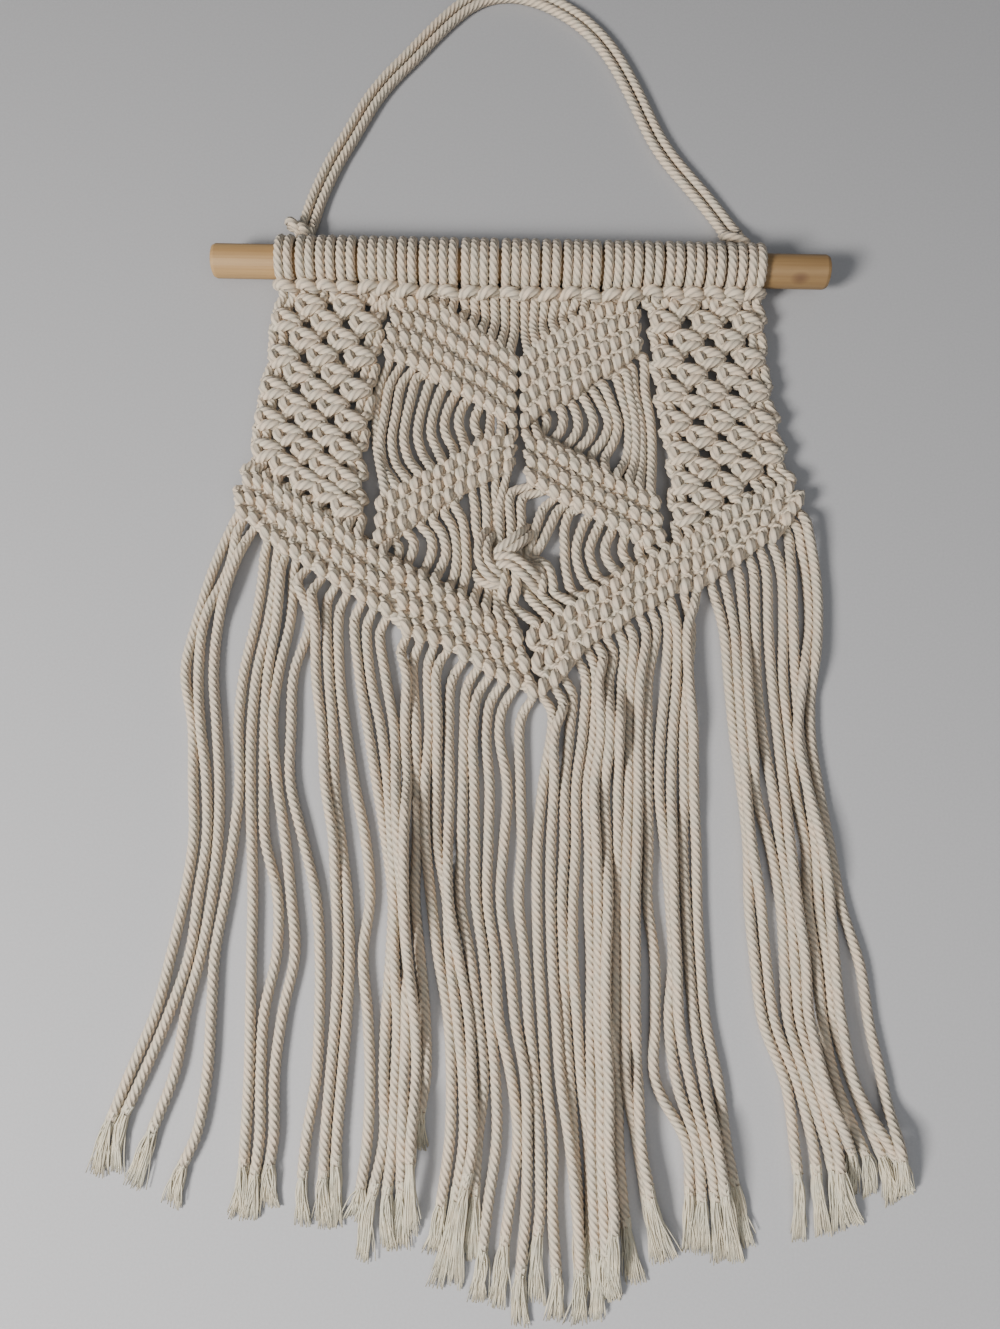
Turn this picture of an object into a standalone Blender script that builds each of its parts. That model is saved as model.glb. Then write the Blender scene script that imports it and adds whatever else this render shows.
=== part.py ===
"""A knotted cotton wall hanging on a wooden dowel, lying flat on its back, face up.

X runs along the dowel, +Y up the hanging towards its hanger, +Z towards the viewer.
The sizes and tables below are in millimetres; the objects are made in metres.
"""

import math

import bmesh
import bpy

MM = 0.001

# ---- driving sizes, mm -------------------------------------------------------
CORD = 5.0  # thickness of the three-strand cotton cord
APART = 0.3  # clearance left between neighbouring pieces

DOWEL_LENGTH = 298.0
DOWEL_RADIUS = 8.0
DOWEL_SOFTENING = 2.0  # rounding of the sawn ends
AXIS_HEIGHT = 12.7  # dowel axis above the surface; the wraps under it are pressed flat
DOWEL_SIDES = 32

WRAP_COUNT = 48  # two wraps to each of the 24 folded cords
WRAP_PITCH = 4.9
WRAP_RADIUS = DOWEL_RADIUS + CORD
WRAP_DIP = 0.9  # how far the groove between two wraps sinks in

PANEL_THICK = 11.0
BAND_THICK = 11.5
STRAND_THICK = 5.0
KNOT_THICK = 15.0
ROUND_OFF = 1.6  # bevel along the upper edges of the knotted pieces
FRINGE_ROUND_OFF = 1.0

HANGER_GAUGE = 2.5  # radius of each hanger cord
HANGER_SPREAD = 2.65  # each cord's distance from the middle of the pair
HANGER_KNOT = 5.5  # radius of the knot that ties the pair to the dowel
HANGER_KNOT_HEIGHT = 6.0
HANGER_STEPS = 1  # sections to each stretch of the hanger route

# ---- outlines seen from the front, columns x, y in mm ------------------------
# The heading's section, columns y, z: wraps over the dowel, then the folded bars
# below it and the strands leaving under them.
HEADING_SECTION = (
    (2.8, 0.0), (8.3, 2.7), (11.9, 7.4), (13.0, 12.7), (11.9, 18.0), (8.3, 22.7),
    (3.2, 25.3), (-3.2, 25.3), (-8.3, 22.7), (-12.6, 17.8), (-15.6, 15.2), (-16.5, 11.0),
    (-16.3, 2.4), (-11.0, 2.9), (-2.8, 0.0),
)

PANEL_LEFT = (
    (-119.2, -16.8), (-120.4, -24.0), (-119.4, -30.0), (-121.4, -37.0), (-120.8, -43.0),
    (-123.4, -50.0), (-122.4, -56.0), (-124.0, -65.0), (-123.0, -72.0), (-125.2, -81.0),
    (-124.6, -88.0), (-127.4, -97.0), (-127.2, -105.3), (-118.0, -107.7), (-94.0, -120.7),
    (-70.3, -133.5), (-71.2, -126.0), (-69.6, -119.0), (-72.0, -112.0), (-70.4, -104.0),
    (-72.2, -97.0), (-69.4, -88.0), (-71.0, -80.0), (-67.6, -71.0), (-68.4, -64.0),
    (-67.0, -56.0), (-68.2, -48.0), (-66.8, -40.0), (-66.8, -32.0), (-64.6, -25.0),
    (-65.2, -16.8),
)
PANEL_RIGHT = (
    (63.2, -16.8), (62.9, -24.0), (65.0, -32.0), (66.4, -40.0), (68.6, -48.0),
    (67.2, -56.0), (69.0, -64.0), (68.0, -72.0), (70.4, -80.0), (69.0, -89.0),
    (71.4, -97.0), (70.4, -105.0), (72.2, -113.0), (71.0, -121.0), (72.4, -127.0),
    (72.3, -133.5), (79.4, -129.4), (105.5, -112.4), (124.2, -102.7), (123.6, -95.0),
    (127.4, -88.0), (124.4, -81.0), (126.0, -73.0), (123.0, -65.0), (124.6, -56.0),
    (121.6, -49.0), (123.0, -40.0), (120.4, -33.0), (121.8, -25.0), (120.0, -16.8),
)
UPPER_BAND_LEFT = (
    (-63.5, -16.8), (-45.0, -16.8), (-37.7, -19.2), (-26.8, -27.6), (-16.5, -35.0),
    (-8.5, -41.0), (-0.35, -48.0), (-0.35, -84.0), (-6.0, -80.5), (-15.8, -71.5),
    (-27.0, -66.3), (-39.2, -59.0), (-52.4, -51.8), (-65.2, -47.0), (-64.6, -36.0),
)
UPPER_BAND_RIGHT = (
    (58.5, -16.8), (58.9, -30.0), (58.6, -39.5), (49.9, -48.6), (37.8, -56.8),
    (27.3, -64.6), (13.5, -71.8), (5.5, -79.5), (0.35, -84.0), (0.35, -48.0),
    (10.0, -38.5), (19.6, -31.8), (30.2, -23.4), (42.0, -16.8),
)
TOP_STRANDS = (
    (-43.6, -16.8), (40.8, -16.8), (29.8, -23.1), (19.4, -31.4), (9.8, -38.1),
    (0.0, -47.2), (-8.2, -40.5), (-16.3, -34.4), (-26.6, -27.0), (-37.5, -18.7),
)
EYE_LEFT = (
    (-65.1, -47.6), (-52.3, -52.3), (-39.0, -59.5), (-26.8, -66.8), (-15.7, -72.1),
    (-6.3, -80.7), (-11.8, -84.9), (-22.3, -93.1), (-34.8, -101.3), (-47.8, -107.8),
    (-58.0, -114.3), (-64.9, -118.6), (-66.9, -104.0), (-68.0, -84.0), (-66.4, -62.0),
)
EYE_RIGHT = (
    (58.8, -40.0), (62.6, -63.0), (64.2, -84.0), (65.8, -115.5), (48.4, -105.8),
    (34.3, -98.6), (20.1, -92.4), (11.5, -86.0), (6.2, -79.7), (13.7, -72.3),
    (27.5, -65.0), (38.0, -57.3), (50.2, -49.1),
)
LOWER_BAND_LEFT = (
    (-5.8, -81.2), (-0.6, -85.0), (-1.2, -96.0), (-2.6, -104.5), (-8.0, -106.2),
    (-22.0, -113.0), (-36.0, -121.0), (-52.0, -131.4), (-61.1, -138.2), (-67.6, -132.3),
    (-66.6, -124.0), (-64.7, -119.0), (-58.0, -114.7), (-47.9, -108.3), (-34.9, -101.8),
    (-22.4, -93.6), (-12.2, -85.5),
)
LOWER_BAND_RIGHT = (
    (0.9, -85.0), (5.6, -80.3), (11.2, -86.4), (20.0, -92.8), (34.3, -99.0),
    (48.4, -106.2), (66.2, -116.1), (68.2, -128.0), (69.4, -135.4), (62.8, -139.1),
    (48.7, -132.1), (34.7, -125.0), (20.5, -118.0), (8.6, -110.8), (3.8, -104.0),
    (2.6, -95.0),
)
DIAMOND_LEFT = (
    (-2.7, -105.0), (-1.6, -117.0), (-3.4, -128.0), (-5.0, -133.7), (-15.0, -134.6),
    (-18.7, -142.0), (-19.4, -154.0), (-17.6, -162.6), (-35.0, -152.9), (-52.0, -143.7),
    (-60.8, -138.8), (-52.0, -131.8), (-36.0, -121.4), (-22.0, -113.4), (-8.0, -106.6),
)
DIAMOND_RIGHT = (
    (4.0, -104.8), (8.4, -111.4), (20.4, -118.4), (34.6, -125.4), (48.6, -132.5),
    (62.3, -139.3), (48.0, -146.8), (32.0, -156.8), (16.9, -165.9), (15.9, -154.0),
    (15.6, -142.0), (10.0, -134.2), (1.6, -133.7), (5.8, -128.0), (7.6, -118.0),
    (4.6, -110.0),
)
GATHERED_KNOT = (
    (-5.2, -134.1), (1.4, -134.1), (9.8, -134.6), (15.2, -142.4), (15.5, -154.0),
    (16.5, -165.7), (9.0, -170.1), (1.2, -171.4), (-7.0, -168.1), (-17.2, -162.9),
    (-19.0, -154.0), (-18.3, -142.2), (-14.8, -135.0),
)
BORDER_LEFT = (
    (-127.2, -105.8), (-118.0, -108.2), (-94.0, -121.2), (-70.0, -134.2), (-61.0, -139.2),
    (-52.0, -144.1), (-35.0, -153.3), (-17.4, -163.2), (-7.1, -168.6), (1.4, -171.9),
    (4.6, -190.0), (7.6, -212.3), (-10.0, -202.2), (-45.0, -181.4), (-81.0, -160.5),
    (-104.0, -147.4), (-118.0, -139.0), (-125.0, -131.0), (-131.0, -123.0), (-129.5, -113.0),
)
BORDER_RIGHT = (
    (124.4, -103.2), (105.7, -112.9), (79.6, -129.9), (72.0, -134.3), (62.6, -139.8),
    (48.1, -147.3), (32.1, -157.3), (16.9, -166.5), (9.1, -170.7), (2.0, -171.9),
    (5.2, -190.0), (8.2, -212.4), (20.0, -206.0), (30.0, -192.0), (38.0, -184.0),
    (52.0, -175.0), (68.0, -165.0), (85.0, -159.0), (98.0, -151.0), (116.0, -138.0),
    (129.0, -127.0), (134.0, -117.0), (129.6, -109.0),
)

# The fringe leaves the border along this line, columns x, y, depth of its strip.
FRINGE_LINE = (
    (-131.4, -123.2, 5.0), (-125.3, -131.3, 4.6), (-118.2, -139.4, 4.4), (-104.1, -147.8, 4.0),
    (-81.1, -160.9, 4.0), (-45.1, -181.8, 4.0), (-10.1, -202.6, 4.0), (8.0, -212.9, 4.0),
    (20.3, -206.3, 4.4), (30.3, -192.3, 4.6), (38.2, -184.3, 4.2), (52.2, -175.4, 4.0),
    (68.1, -165.4, 4.0), (85.1, -159.4, 4.0), (98.2, -151.4, 4.0), (116.2, -138.4, 4.6),
    (129.3, -127.3, 6.5), (134.4, -117.2, 8.0),
)

# Square holes between the knots of the two side panels, columns x, y, width, height.
PANEL_HOLES_LEFT = (
    (-91.6, -19.8, 4.0, 4.0), (-83.3, -29.9, 4.4, 4.4), (-94.0, -37.2, 4.4, 4.4),
    (-84.6, -62.9, 4.6, 4.4), (-97.4, -84.4, 4.4, 4.2), (-88.6, -107.2, 5.0, 4.0),
)
PANEL_HOLES_RIGHT = (
    (81.1, -26.0, 4.2, 4.4), (92.0, -35.4, 4.4, 4.2), (83.5, -61.4, 4.4, 4.4),
    (97.0, -84.4, 4.6, 4.2), (108.2, -91.0, 4.6, 4.0), (89.9, -107.4, 5.0, 5.4),
)
# Slits between the loose strands, as corner lists, columns x, y.
EYE_SLITS_LEFT = (
    ((-59.6, -62.0), (-58.0, -62.0), (-58.4, -92.0), (-55.6, -104.0), (-57.8, -104.0), (-60.4, -92.0)),
    ((-46.6, -68.0), (-44.8, -68.0), (-45.4, -84.0), (-41.0, -96.0), (-43.6, -96.0), (-47.6, -84.0)),
    ((-34.8, -71.0), (-32.8, -71.0), (-33.2, -78.0), (-27.0, -88.0), (-29.8, -88.0), (-35.4, -78.0)),
)
EYE_SLITS_RIGHT = (
    ((32.4, -70.0), (34.2, -70.0), (37.4, -78.0), (36.6, -90.0), (34.6, -90.0), (35.2, -78.0)),
    ((43.8, -64.0), (45.6, -64.0), (48.4, -78.0), (46.6, -98.0), (44.6, -98.0), (46.2, -78.0)),
    ((54.0, -62.0), (55.8, -62.0), (58.2, -84.0), (58.4, -104.0), (56.4, -104.0), (56.0, -84.0)),
)
DIAMOND_SLITS_LEFT = (
    ((-26.4, -124.0), (-24.0, -124.0), (-21.8, -134.0), (-23.2, -146.0), (-25.6, -146.0), (-24.2, -134.0)),
)
DIAMOND_SLITS_RIGHT = (
    ((24.4, -128.0), (26.8, -128.0), (22.4, -140.0), (24.0, -150.0), (21.2, -150.0), (19.8, -140.0)),
)

# Fringe teeth, each a bunch of neighbouring strands. The first row holds where the
# bunch leaves the strip, columns left, right; the others y, left, right.
FRINGE_TEETH = (
    ((-133.2, -127.4), ((-138, -139.0, -130.6), (-150, -143.5, -133.9), (-175, -149.5, -140.4),
                        (-200, -153.5, -142.4), (-225, -148.5, -139.0), (-250, -146.5, -135.6),
                        (-275, -144.5, -134.6), (-300, -146.5, -135.6), (-325, -150.5, -138.6),
                        (-350, -155.5, -144.5), (-375, -164.5, -153.5), (-400, -172.5, -161.5),
                        (-416, -175.5, -164.0))),
    ((-126.2, -121.6), ((-140, -129.6, -125.0), (-150, -132.7, -128.0), (-175, -139.4, -134.4),
                        (-200, -141.2, -135.8), (-225, -137.6, -132.6), (-250, -134.6, -129.6),
                        (-275, -133.6, -128.8), (-300, -134.6, -129.8), (-325, -137.6, -132.6),
                        (-350, -142.5, -137.5), (-375, -145.5, -140.5), (-400, -153.5, -148.5),
                        (-421, -160.0, -155.5))),
    ((-120.4, -115.6), ((-175, -122.5, -117.6), (-200, -126.5, -121.6), (-225, -127.2, -122.5),
                        (-250, -125.5, -121.2),
                        (-300, -128.7, -123.7), (-325, -131.4, -126.4), (-375, -131.5, -126.5),
                        (-400, -134.5, -129.5), (-429, -141.5, -137.5))),
    ((-114.4, -110.0), ((-175, -116.5, -111.9), (-200, -120.5, -115.9), (-225, -121.5, -116.9),
                        (-250, -120.0, -115.3), (-275, -118.5, -113.5), (-325, -115.5, -110.5),
                        (-375, -113.8, -109.0), (-425, -114.6, -110.0), (-433, -114.4, -111.4))),
    ((-108.9, -101.2), ((-175, -110.9, -101.6), (-200, -114.9, -105.5), (-225, -115.9, -106.5),
                        (-250, -114.3, -103.7), (-275, -111.5, -98.5), (-300, -105.5, -94.5),
                        (-325, -104.5, -91.5), (-350, -107.8, -95.5), (-400, -107.5, -96.5),
                        (-425, -108.8, -97.5), (-431, -107.4, -99.0))),
    ((-100.0, -95.2), ((-175, -98.8, -94.8), (-200, -103.5, -98.5), (-225, -103.5, -98.5),
                       (-250, -102.5, -97.5), (-275, -95.5, -90.5), (-300, -88.5, -83.5),
                       (-350, -84.5, -79.5), (-375, -84.5, -79.7), (-400, -87.5, -82.5),
                       (-425, -88.4, -83.4), (-435, -87.0, -83.4))),
    ((-94.0, -84.6), ((-175, -93.8, -84.0), (-200, -93.5, -82.5), (-225, -89.5, -79.5),
                      (-250, -86.5, -77.0), (-275, -81.5, -73.5), (-300, -79.5, -69.5),
                      (-325, -77.5, -67.6), (-350, -77.5, -67.5), (-400, -79.5, -69.5),
                      (-425, -78.5, -68.5), (-436, -77.0, -70.0))),
    ((-83.4, -78.2), ((-177, -82.9, -77.8), (-200, -81.5, -76.8), (-225, -78.5, -73.5),
                      (-250, -73.5, -68.5), (-275, -67.5, -62.5), (-300, -64.5, -59.5),
                      (-325, -66.5, -61.5), (-350, -63.5, -58.5), (-375, -61.5, -56.7),
                      (-400, -61.5, -56.7), (-425, -64.5, -59.5), (-433, -66.0, -62.0))),
    ((-77.0, -58.6), ((-186, -75.4, -58.4), (-200, -73.5, -56.5), (-225, -68.5, -52.3),
                      (-250, -63.5, -50.3), (-275, -58.5, -48.3), (-300, -54.5, -46.1),
                      (-325, -54.5, -44.9), (-350, -55.3, -42.3), (-375, -55.5, -41.8),
                      (-400, -54.5, -42.1), (-425, -58.3, -41.9), (-444, -58.5, -44.0))),
    ((-52.0, -42.0), ((-200, -51.5, -41.6), (-225, -51.3, -41.5), (-250, -49.3, -41.3),
                      (-275, -47.3, -41.1), (-300, -45.1, -39.5), (-325, -43.9, -36.5),
                      (-350, -41.3, -33.5), (-375, -40.8, -32.5), (-400, -41.1, -34.5),
                      (-425, -40.9, -36.5), (-438, -40.4, -37.0))),
    ((-40.6, -27.4), ((-202, -39.8, -27.6), (-225, -40.5, -31.9), (-250, -40.3, -31.4),
                      (-275, -40.1, -30.9), (-300, -37.5, -27.9), (-325, -33.5, -24.4),
                      (-350, -28.5, -19.9), (-375, -26.5, -17.4), (-400, -26.5, -16.4),
                      (-425, -29.5, -19.4), (-452, -31.0, -23.6))),
    ((-26.2, -14.2), ((-212, -27.8, -18.0), (-225, -30.9, -20.4), (-250, -30.4, -19.9),
                      (-275, -29.9, -19.5), (-300, -26.9, -19.4), (-325, -23.4, -14.5),
                      (-350, -18.9, -10.9), (-375, -16.4, -7.9), (-400, -15.4, -9.4),
                      (-425, -18.4, -10.5), (-452, -22.4, -13.4))),
    ((-13.2, -2.6), ((-225, -19.4, -9.4), (-250, -18.9, -7.5), (-275, -18.5, -7.5),
                     (-300, -17.5, -7.5), (-325, -13.5, -3.5), (-350, -9.9, -1.5),
                     (-375, -6.9, 4.5), (-400, -6.5, 6.5), (-425, -9.4, 4.5),
                     (-450, -12.4, 1.5), (-464, -12.0, -1.0))),
    ((-1.4, 8.8), ((-226, -8.2, 3.5), (-250, -4.5, 6.5), (-275, -5.5, 7.5),
                   (-300, -6.5, 6.5), (-325, -2.5, 9.5), (-350, 0.5, 11.5),
                   (-375, 5.5, 14.0), (-400, 7.5, 16.5), (-425, 6.5, 17.0),
                   (-450, 4.6, 16.5), (-470, 5.6, 16.0))),
    ((11.4, 26.0), ((-226, 14.0, 28.0), (-250, 11.5, 26.0), (-275, 9.5, 26.0),
                    (-300, 9.5, 25.0), (-325, 10.5, 25.5), (-350, 12.5, 27.0),
                    (-375, 15.0, 29.0), (-400, 17.5, 31.5), (-425, 18.0, 33.0),
                    (-450, 19.5, 34.0), (-470, 20.0, 33.6))),
    ((27.4, 40.4), ((-206, 29.2, 41.2), (-225, 29.4, 41.6), (-250, 27.0, 39.0),
                    (-275, 27.0, 40.0), (-300, 26.0, 40.4), (-350, 28.0, 40.0),
                    (-375, 30.0, 41.0), (-400, 32.5, 41.0), (-425, 34.0, 42.5),
                    (-450, 35.0, 44.0), (-466, 36.6, 45.0))),
    ((41.6, 50.6), ((-200, 42.3, 51.4), (-225, 42.6, 50.0), (-250, 40.2, 50.0),
                    (-275, 41.2, 49.5), (-300, 41.5, 49.0), (-350, 41.2, 48.4),
                    (-375, 42.0, 49.0), (-400, 42.2, 50.5), (-425, 43.7, 52.5),
                    (-450, 45.2, 57.0), (-458, 46.2, 57.0))),
    ((51.8, 60.2), ((-200, 52.6, 59.2), (-225, 51.2, 57.4), (-250, 51.2, 57.4),
                    (-275, 50.7, 57.4), (-300, 50.2, 57.0), (-325, 49.6, 57.5),
                    (-350, 49.6, 57.5), (-375, 50.2, 58.5), (-400, 53.5, 59.5),
                    (-425, 57.5, 65.5), (-446, 63.0, 70.0))),
    ((61.4, 76.2), ((-186, 60.6, 77.0), (-200, 60.3, 77.0), (-225, 58.6, 75.0),
                    (-250, 58.6, 74.5), (-275, 58.6, 74.0), (-300, 58.2, 74.5),
                    (-325, 61.5, 75.5), (-350, 61.5, 76.5), (-375, 61.8, 81.2),
                    (-400, 74.5, 86.4), (-425, 75.5, 91.0), (-444, 76.4, 92.0))),
    ((77.4, 87.0), ((-186, 78.2, 84.0), (-200, 78.2, 83.0), (-225, 76.2, 84.5),
                    (-250, 75.7, 84.5), (-275, 75.2, 85.5), (-300, 75.7, 85.5),
                    (-325, 76.7, 86.5), (-350, 78.0, 88.5), (-375, 82.4, 93.5),
                    (-400, 87.6, 96.5), (-425, 92.2, 101.5), (-442, 96.0, 103.5))),
    ((89.4, 101.8), ((-175, 94.5, 103.9), (-200, 96.5, 104.5), (-225, 98.5, 105.6),
                     (-250, 101.5, 107.0), (-275, 103.5, 109.5), (-300, 103.5, 113.5),
                     (-325, 105.5, 115.5), (-350, 108.5, 118.5), (-375, 117.5, 126.4),
                     (-400, 120.5, 133.5), (-425, 121.5, 136.5), (-436, 122.5, 136.5))),
    ((103.0, 114.0), ((-175, 105.0, 114.6), (-200, 105.6, 114.8), (-225, 106.8, 116.8),
                      (-250, 108.2, 120.0), (-275, 113.5, 122.0), (-300, 117.5, 124.6),
                      (-325, 118.5, 126.5), (-350, 119.6, 128.0), (-375, 127.6, 133.6),
                      (-400, 134.6, 142.0), (-425, 138.5, 147.6), (-432, 141.5, 149.5))),
    ((115.0, 125.8), ((-150, 115.6, 126.6), (-200, 116.4, 126.4), (-225, 118.2, 128.0),
                      (-250, 121.0, 130.5), (-275, 123.0, 133.5), (-300, 125.7, 134.0),
                      (-325, 127.5, 137.0), (-350, 129.0, 139.0), (-375, 134.8, 144.6),
                      (-400, 143.2, 154.6), (-420, 148.7, 157.0))),
    ((126.8, 130.2), ((-138, 127.4, 136.8), (-150, 127.6, 137.8), (-175, 127.6, 134.0),
                      (-200, 127.6, 132.4), (-225, 129.2, 135.4), (-250, 131.7, 140.0),
                      (-275, 134.6, 143.5), (-300, 135.2, 144.5), (-325, 138.2, 146.5),
                      (-350, 140.2, 151.5), (-375, 146.4, 160.6), (-400, 156.4, 166.2),
                      (-420, 161.0, 167.6))),
    ((131.0, 134.4), ((-130, 136.2, 141.0), (-150, 138.9, 142.5), (-175, 135.1, 139.5),
                      (-200, 133.5, 138.5), (-225, 136.5, 141.5), (-250, 141.0, 145.5),
                      (-275, 144.6, 149.5), (-300, 151.5, 156.5), (-325, 154.5, 159.5),
                      (-350, 159.5, 164.5), (-375, 162.5, 167.5), (-400, 167.4, 170.6),
                      (-419, 168.8, 173.2))),
)

# The middle line of the doubled hanger cord, columns x, y, z.
HANGER_ROUTE = (
    (-106.0, 23.4, 5.2), (-105.2, 29.5, 3.0), (-102.5, 40.5, 2.6), (-98.5, 52.0, 2.6), (-93.8, 63.5, 2.6),
    (-88.0, 75.0, 2.6), (-82.5, 86.5, 2.6), (-76.6, 98.0, 2.6), (-68.9, 109.5, 2.6), (-59.0, 121.5, 2.6),
    (-49.4, 133.5, 2.6), (-39.5, 145.0, 2.6), (-30.0, 154.0, 2.6), (-18.6, 160.0, 2.6), (-6.6, 161.4, 2.6),
    (4.4, 159.4, 2.6), (15.0, 155.0, 2.6), (28.0, 146.4, 2.6), (39.2, 135.0, 2.6), (47.0, 123.5, 2.6),
    (53.0, 112.0, 2.6), (58.2, 100.5, 2.6), (63.0, 89.0, 2.6), (68.2, 77.5, 2.6), (74.8, 66.5, 2.6),
    (83.2, 55.4, 2.6), (91.7, 44.5, 2.6), (99.0, 34.2, 2.6), (102.7, 27.9, 3.4), (105.6, 22.7, 5.2),
)
HANGER_KNOTS = (("hanger_knot_left", -106.0), ("hanger_knot_right", 108.5))


def clear_scene():
    for thing in list(bpy.data.objects):
        bpy.data.objects.remove(thing)


def make_material(name, colour, roughness):
    material = bpy.data.materials.new(name)
    material.use_nodes = True
    shader = material.node_tree.nodes["Principled BSDF"]
    shader.inputs["Base Color"].default_value = (*colour, 1.0)
    shader.inputs["Roughness"].default_value = roughness
    return material


def add_object(name, mesh, material):
    """Turn a finished bmesh, in millimetres, into a named object in metres."""
    bmesh.ops.recalc_face_normals(mesh, faces=mesh.faces)
    bmesh.ops.scale(mesh, vec=(MM, MM, MM), verts=mesh.verts)
    data = bpy.data.meshes.new(name)
    mesh.to_mesh(data)
    mesh.free()
    data.materials.append(material)
    thing = bpy.data.objects.new(name, data)
    bpy.context.scene.collection.objects.link(thing)
    return thing


def signed_area(loop):
    total = 0.0
    for (ax, ay), (bx, by) in zip(loop, loop[1:] + loop[:1]):
        total += ax * by - bx * ay
    return total / 2


def shrunk(loop, distance):
    """The loop moved to its left by a distance: inwards when it runs anticlockwise."""
    moved = []
    count = len(loop)
    for i in range(count):
        before, here, after = loop[i - 1], loop[i], loop[(i + 1) % count]
        first = (here[0] - before[0], here[1] - before[1])
        second = (after[0] - here[0], after[1] - here[1])
        first_length = math.hypot(*first)
        second_length = math.hypot(*second)
        n1 = (-first[1] / first_length, first[0] / first_length)
        n2 = (-second[1] / second_length, second[0] / second_length)
        side = (n1[0] + n2[0], n1[1] + n2[1])
        square = side[0] ** 2 + side[1] ** 2
        reach = min(2 * distance / max(square, 0.2), 2.2 * distance)
        moved.append((here[0] + side[0] * reach, here[1] + side[1] * reach))
    return moved


def ring_of(mesh, loop, height):
    return [mesh.verts.new((x, y, height)) for x, y in loop]


def join_rings(mesh, low, high):
    count = len(low)
    for i in range(count):
        j = (i + 1) % count
        mesh.faces.new((low[i], low[j], high[j], high[i]))


def cap_rings(mesh, rings):
    """Fill the flat area between an outer ring and the rings of its holes."""
    edges = []
    for ring in rings:
        for a, b in zip(ring, ring[1:] + ring[:1]):
            edges.append(mesh.edges.get((a, b)) or mesh.edges.new((a, b)))
    bmesh.ops.triangle_fill(mesh, use_beauty=True, use_dissolve=False, edges=edges)


def flat_piece(name, outline, thick, material, holes=(), round_off=ROUND_OFF):
    """A flat knotted piece lying on the surface, with its upper edges taken off."""
    loops = [list(outline)] + [list(hole) for hole in holes]
    if signed_area(loops[0]) < 0:
        loops[0].reverse()
    for loop in loops[1:]:
        if signed_area(loop) > 0:
            loop.reverse()
    mesh = bmesh.new()
    floors, shoulders, tops = [], [], []
    for loop in loops:
        floors.append(ring_of(mesh, loop, 0.0))
        shoulders.append(ring_of(mesh, loop, thick - round_off))
        tops.append(ring_of(mesh, shrunk(loop, round_off), thick))
    for floor, shoulder, top in zip(floors, shoulders, tops):
        join_rings(mesh, floor, shoulder)
        join_rings(mesh, shoulder, top)
    cap_rings(mesh, floors)
    cap_rings(mesh, tops)
    return add_object(name, mesh, material)


def diamond_hole(x, y, width, height):
    return [(x - width / 2, y), (x, y + height / 2), (x + width / 2, y), (x, y - height / 2)]


def make_dowel(material):
    """The rod, turned about its own axis, with its sawn ends softened."""
    half = DOWEL_LENGTH / 2
    soft = DOWEL_SOFTENING
    profile = [
        (-half, DOWEL_RADIUS - soft),
        (-half + 0.3 * soft, DOWEL_RADIUS - 0.3 * soft),
        (-half + soft, DOWEL_RADIUS),
        (half - soft, DOWEL_RADIUS),
        (half - 0.3 * soft, DOWEL_RADIUS - 0.3 * soft),
        (half, DOWEL_RADIUS - soft),
    ]
    mesh = bmesh.new()
    rings = []
    for x, radius in profile:
        ring = []
        for k in range(DOWEL_SIDES):
            angle = 2 * math.pi * k / DOWEL_SIDES
            y = radius * math.cos(angle)
            z = AXIS_HEIGHT + radius * math.sin(angle)
            ring.append(mesh.verts.new((x, y, z)))
        rings.append(ring)
    for one, two in zip(rings, rings[1:]):
        join_rings(mesh, one, two)
    mesh.faces.new(rings[0])
    mesh.faces.new(rings[-1])
    return add_object("dowel", mesh, material)


def heading_ring(mesh, x, dip):
    """One section of the heading, drawn in towards the dowel by the dip."""
    ring = []
    for y, z in HEADING_SECTION:
        reach = math.hypot(y, z - AXIS_HEIGHT)
        keep = 1.0 if z < 3.0 else (reach - dip) / reach
        ring.append(mesh.verts.new((x, y * keep, AXIS_HEIGHT + (z - AXIS_HEIGHT) * keep)))
    return ring


def make_heading(material):
    """The row of folded cords on the dowel: a grooved sleeve open at both ends."""
    mesh = bmesh.new()
    half = WRAP_COUNT * WRAP_PITCH / 2
    outer = [heading_ring(mesh, -half, WRAP_DIP)]
    for wrap in range(WRAP_COUNT):
        left = -half + wrap * WRAP_PITCH
        outer.append(heading_ring(mesh, left + 0.5 * WRAP_PITCH, 0.0))
        if wrap % 2:
            outer.append(heading_ring(mesh, left + WRAP_PITCH, WRAP_DIP))
    for one, two in zip(outer, outer[1:]):
        join_rings(mesh, one, two)
    bores = []
    for x in (-half, half):
        bore = []
        for k in range(DOWEL_SIDES):
            angle = 2 * math.pi * k / DOWEL_SIDES
            radius = DOWEL_RADIUS + APART
            bore.append(mesh.verts.new(
                (x, radius * math.cos(angle), AXIS_HEIGHT + radius * math.sin(angle))))
        bores.append(bore)
    join_rings(mesh, bores[0], bores[1])
    cap_rings(mesh, (outer[0], bores[0]))
    cap_rings(mesh, (outer[-1], bores[1]))
    return add_object("heading", mesh, material)


def line_height(line, x):
    """The height of a line of points at one place along it."""
    for (ax, ay), (bx, by) in zip(line, line[1:]):
        if ax <= x <= bx:
            return ay + (by - ay) * (x - ax) / (bx - ax)
    return line[0][1] if x < line[0][0] else line[-1][1]


def make_fringe(material):
    """One comb: a strip along the border, and a tooth for each bunch of strands."""
    outline = [(x, y) for x, y, _ in FRINGE_LINE]
    low_line = [(x, y - depth) for x, y, depth in FRINGE_LINE]
    for (root_left, root_right), rows in reversed(FRINGE_TEETH):
        outline.append((root_right, line_height(low_line, root_right)))
        for y, _, right in rows:
            outline.append((right, float(y)))
        for y, left, _ in reversed(rows):
            outline.append((left, float(y)))
        outline.append((root_left, line_height(low_line, root_left)))
    outline.reverse()
    return flat_piece("fringe", outline, STRAND_THICK, material, (), FRINGE_ROUND_OFF)


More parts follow.
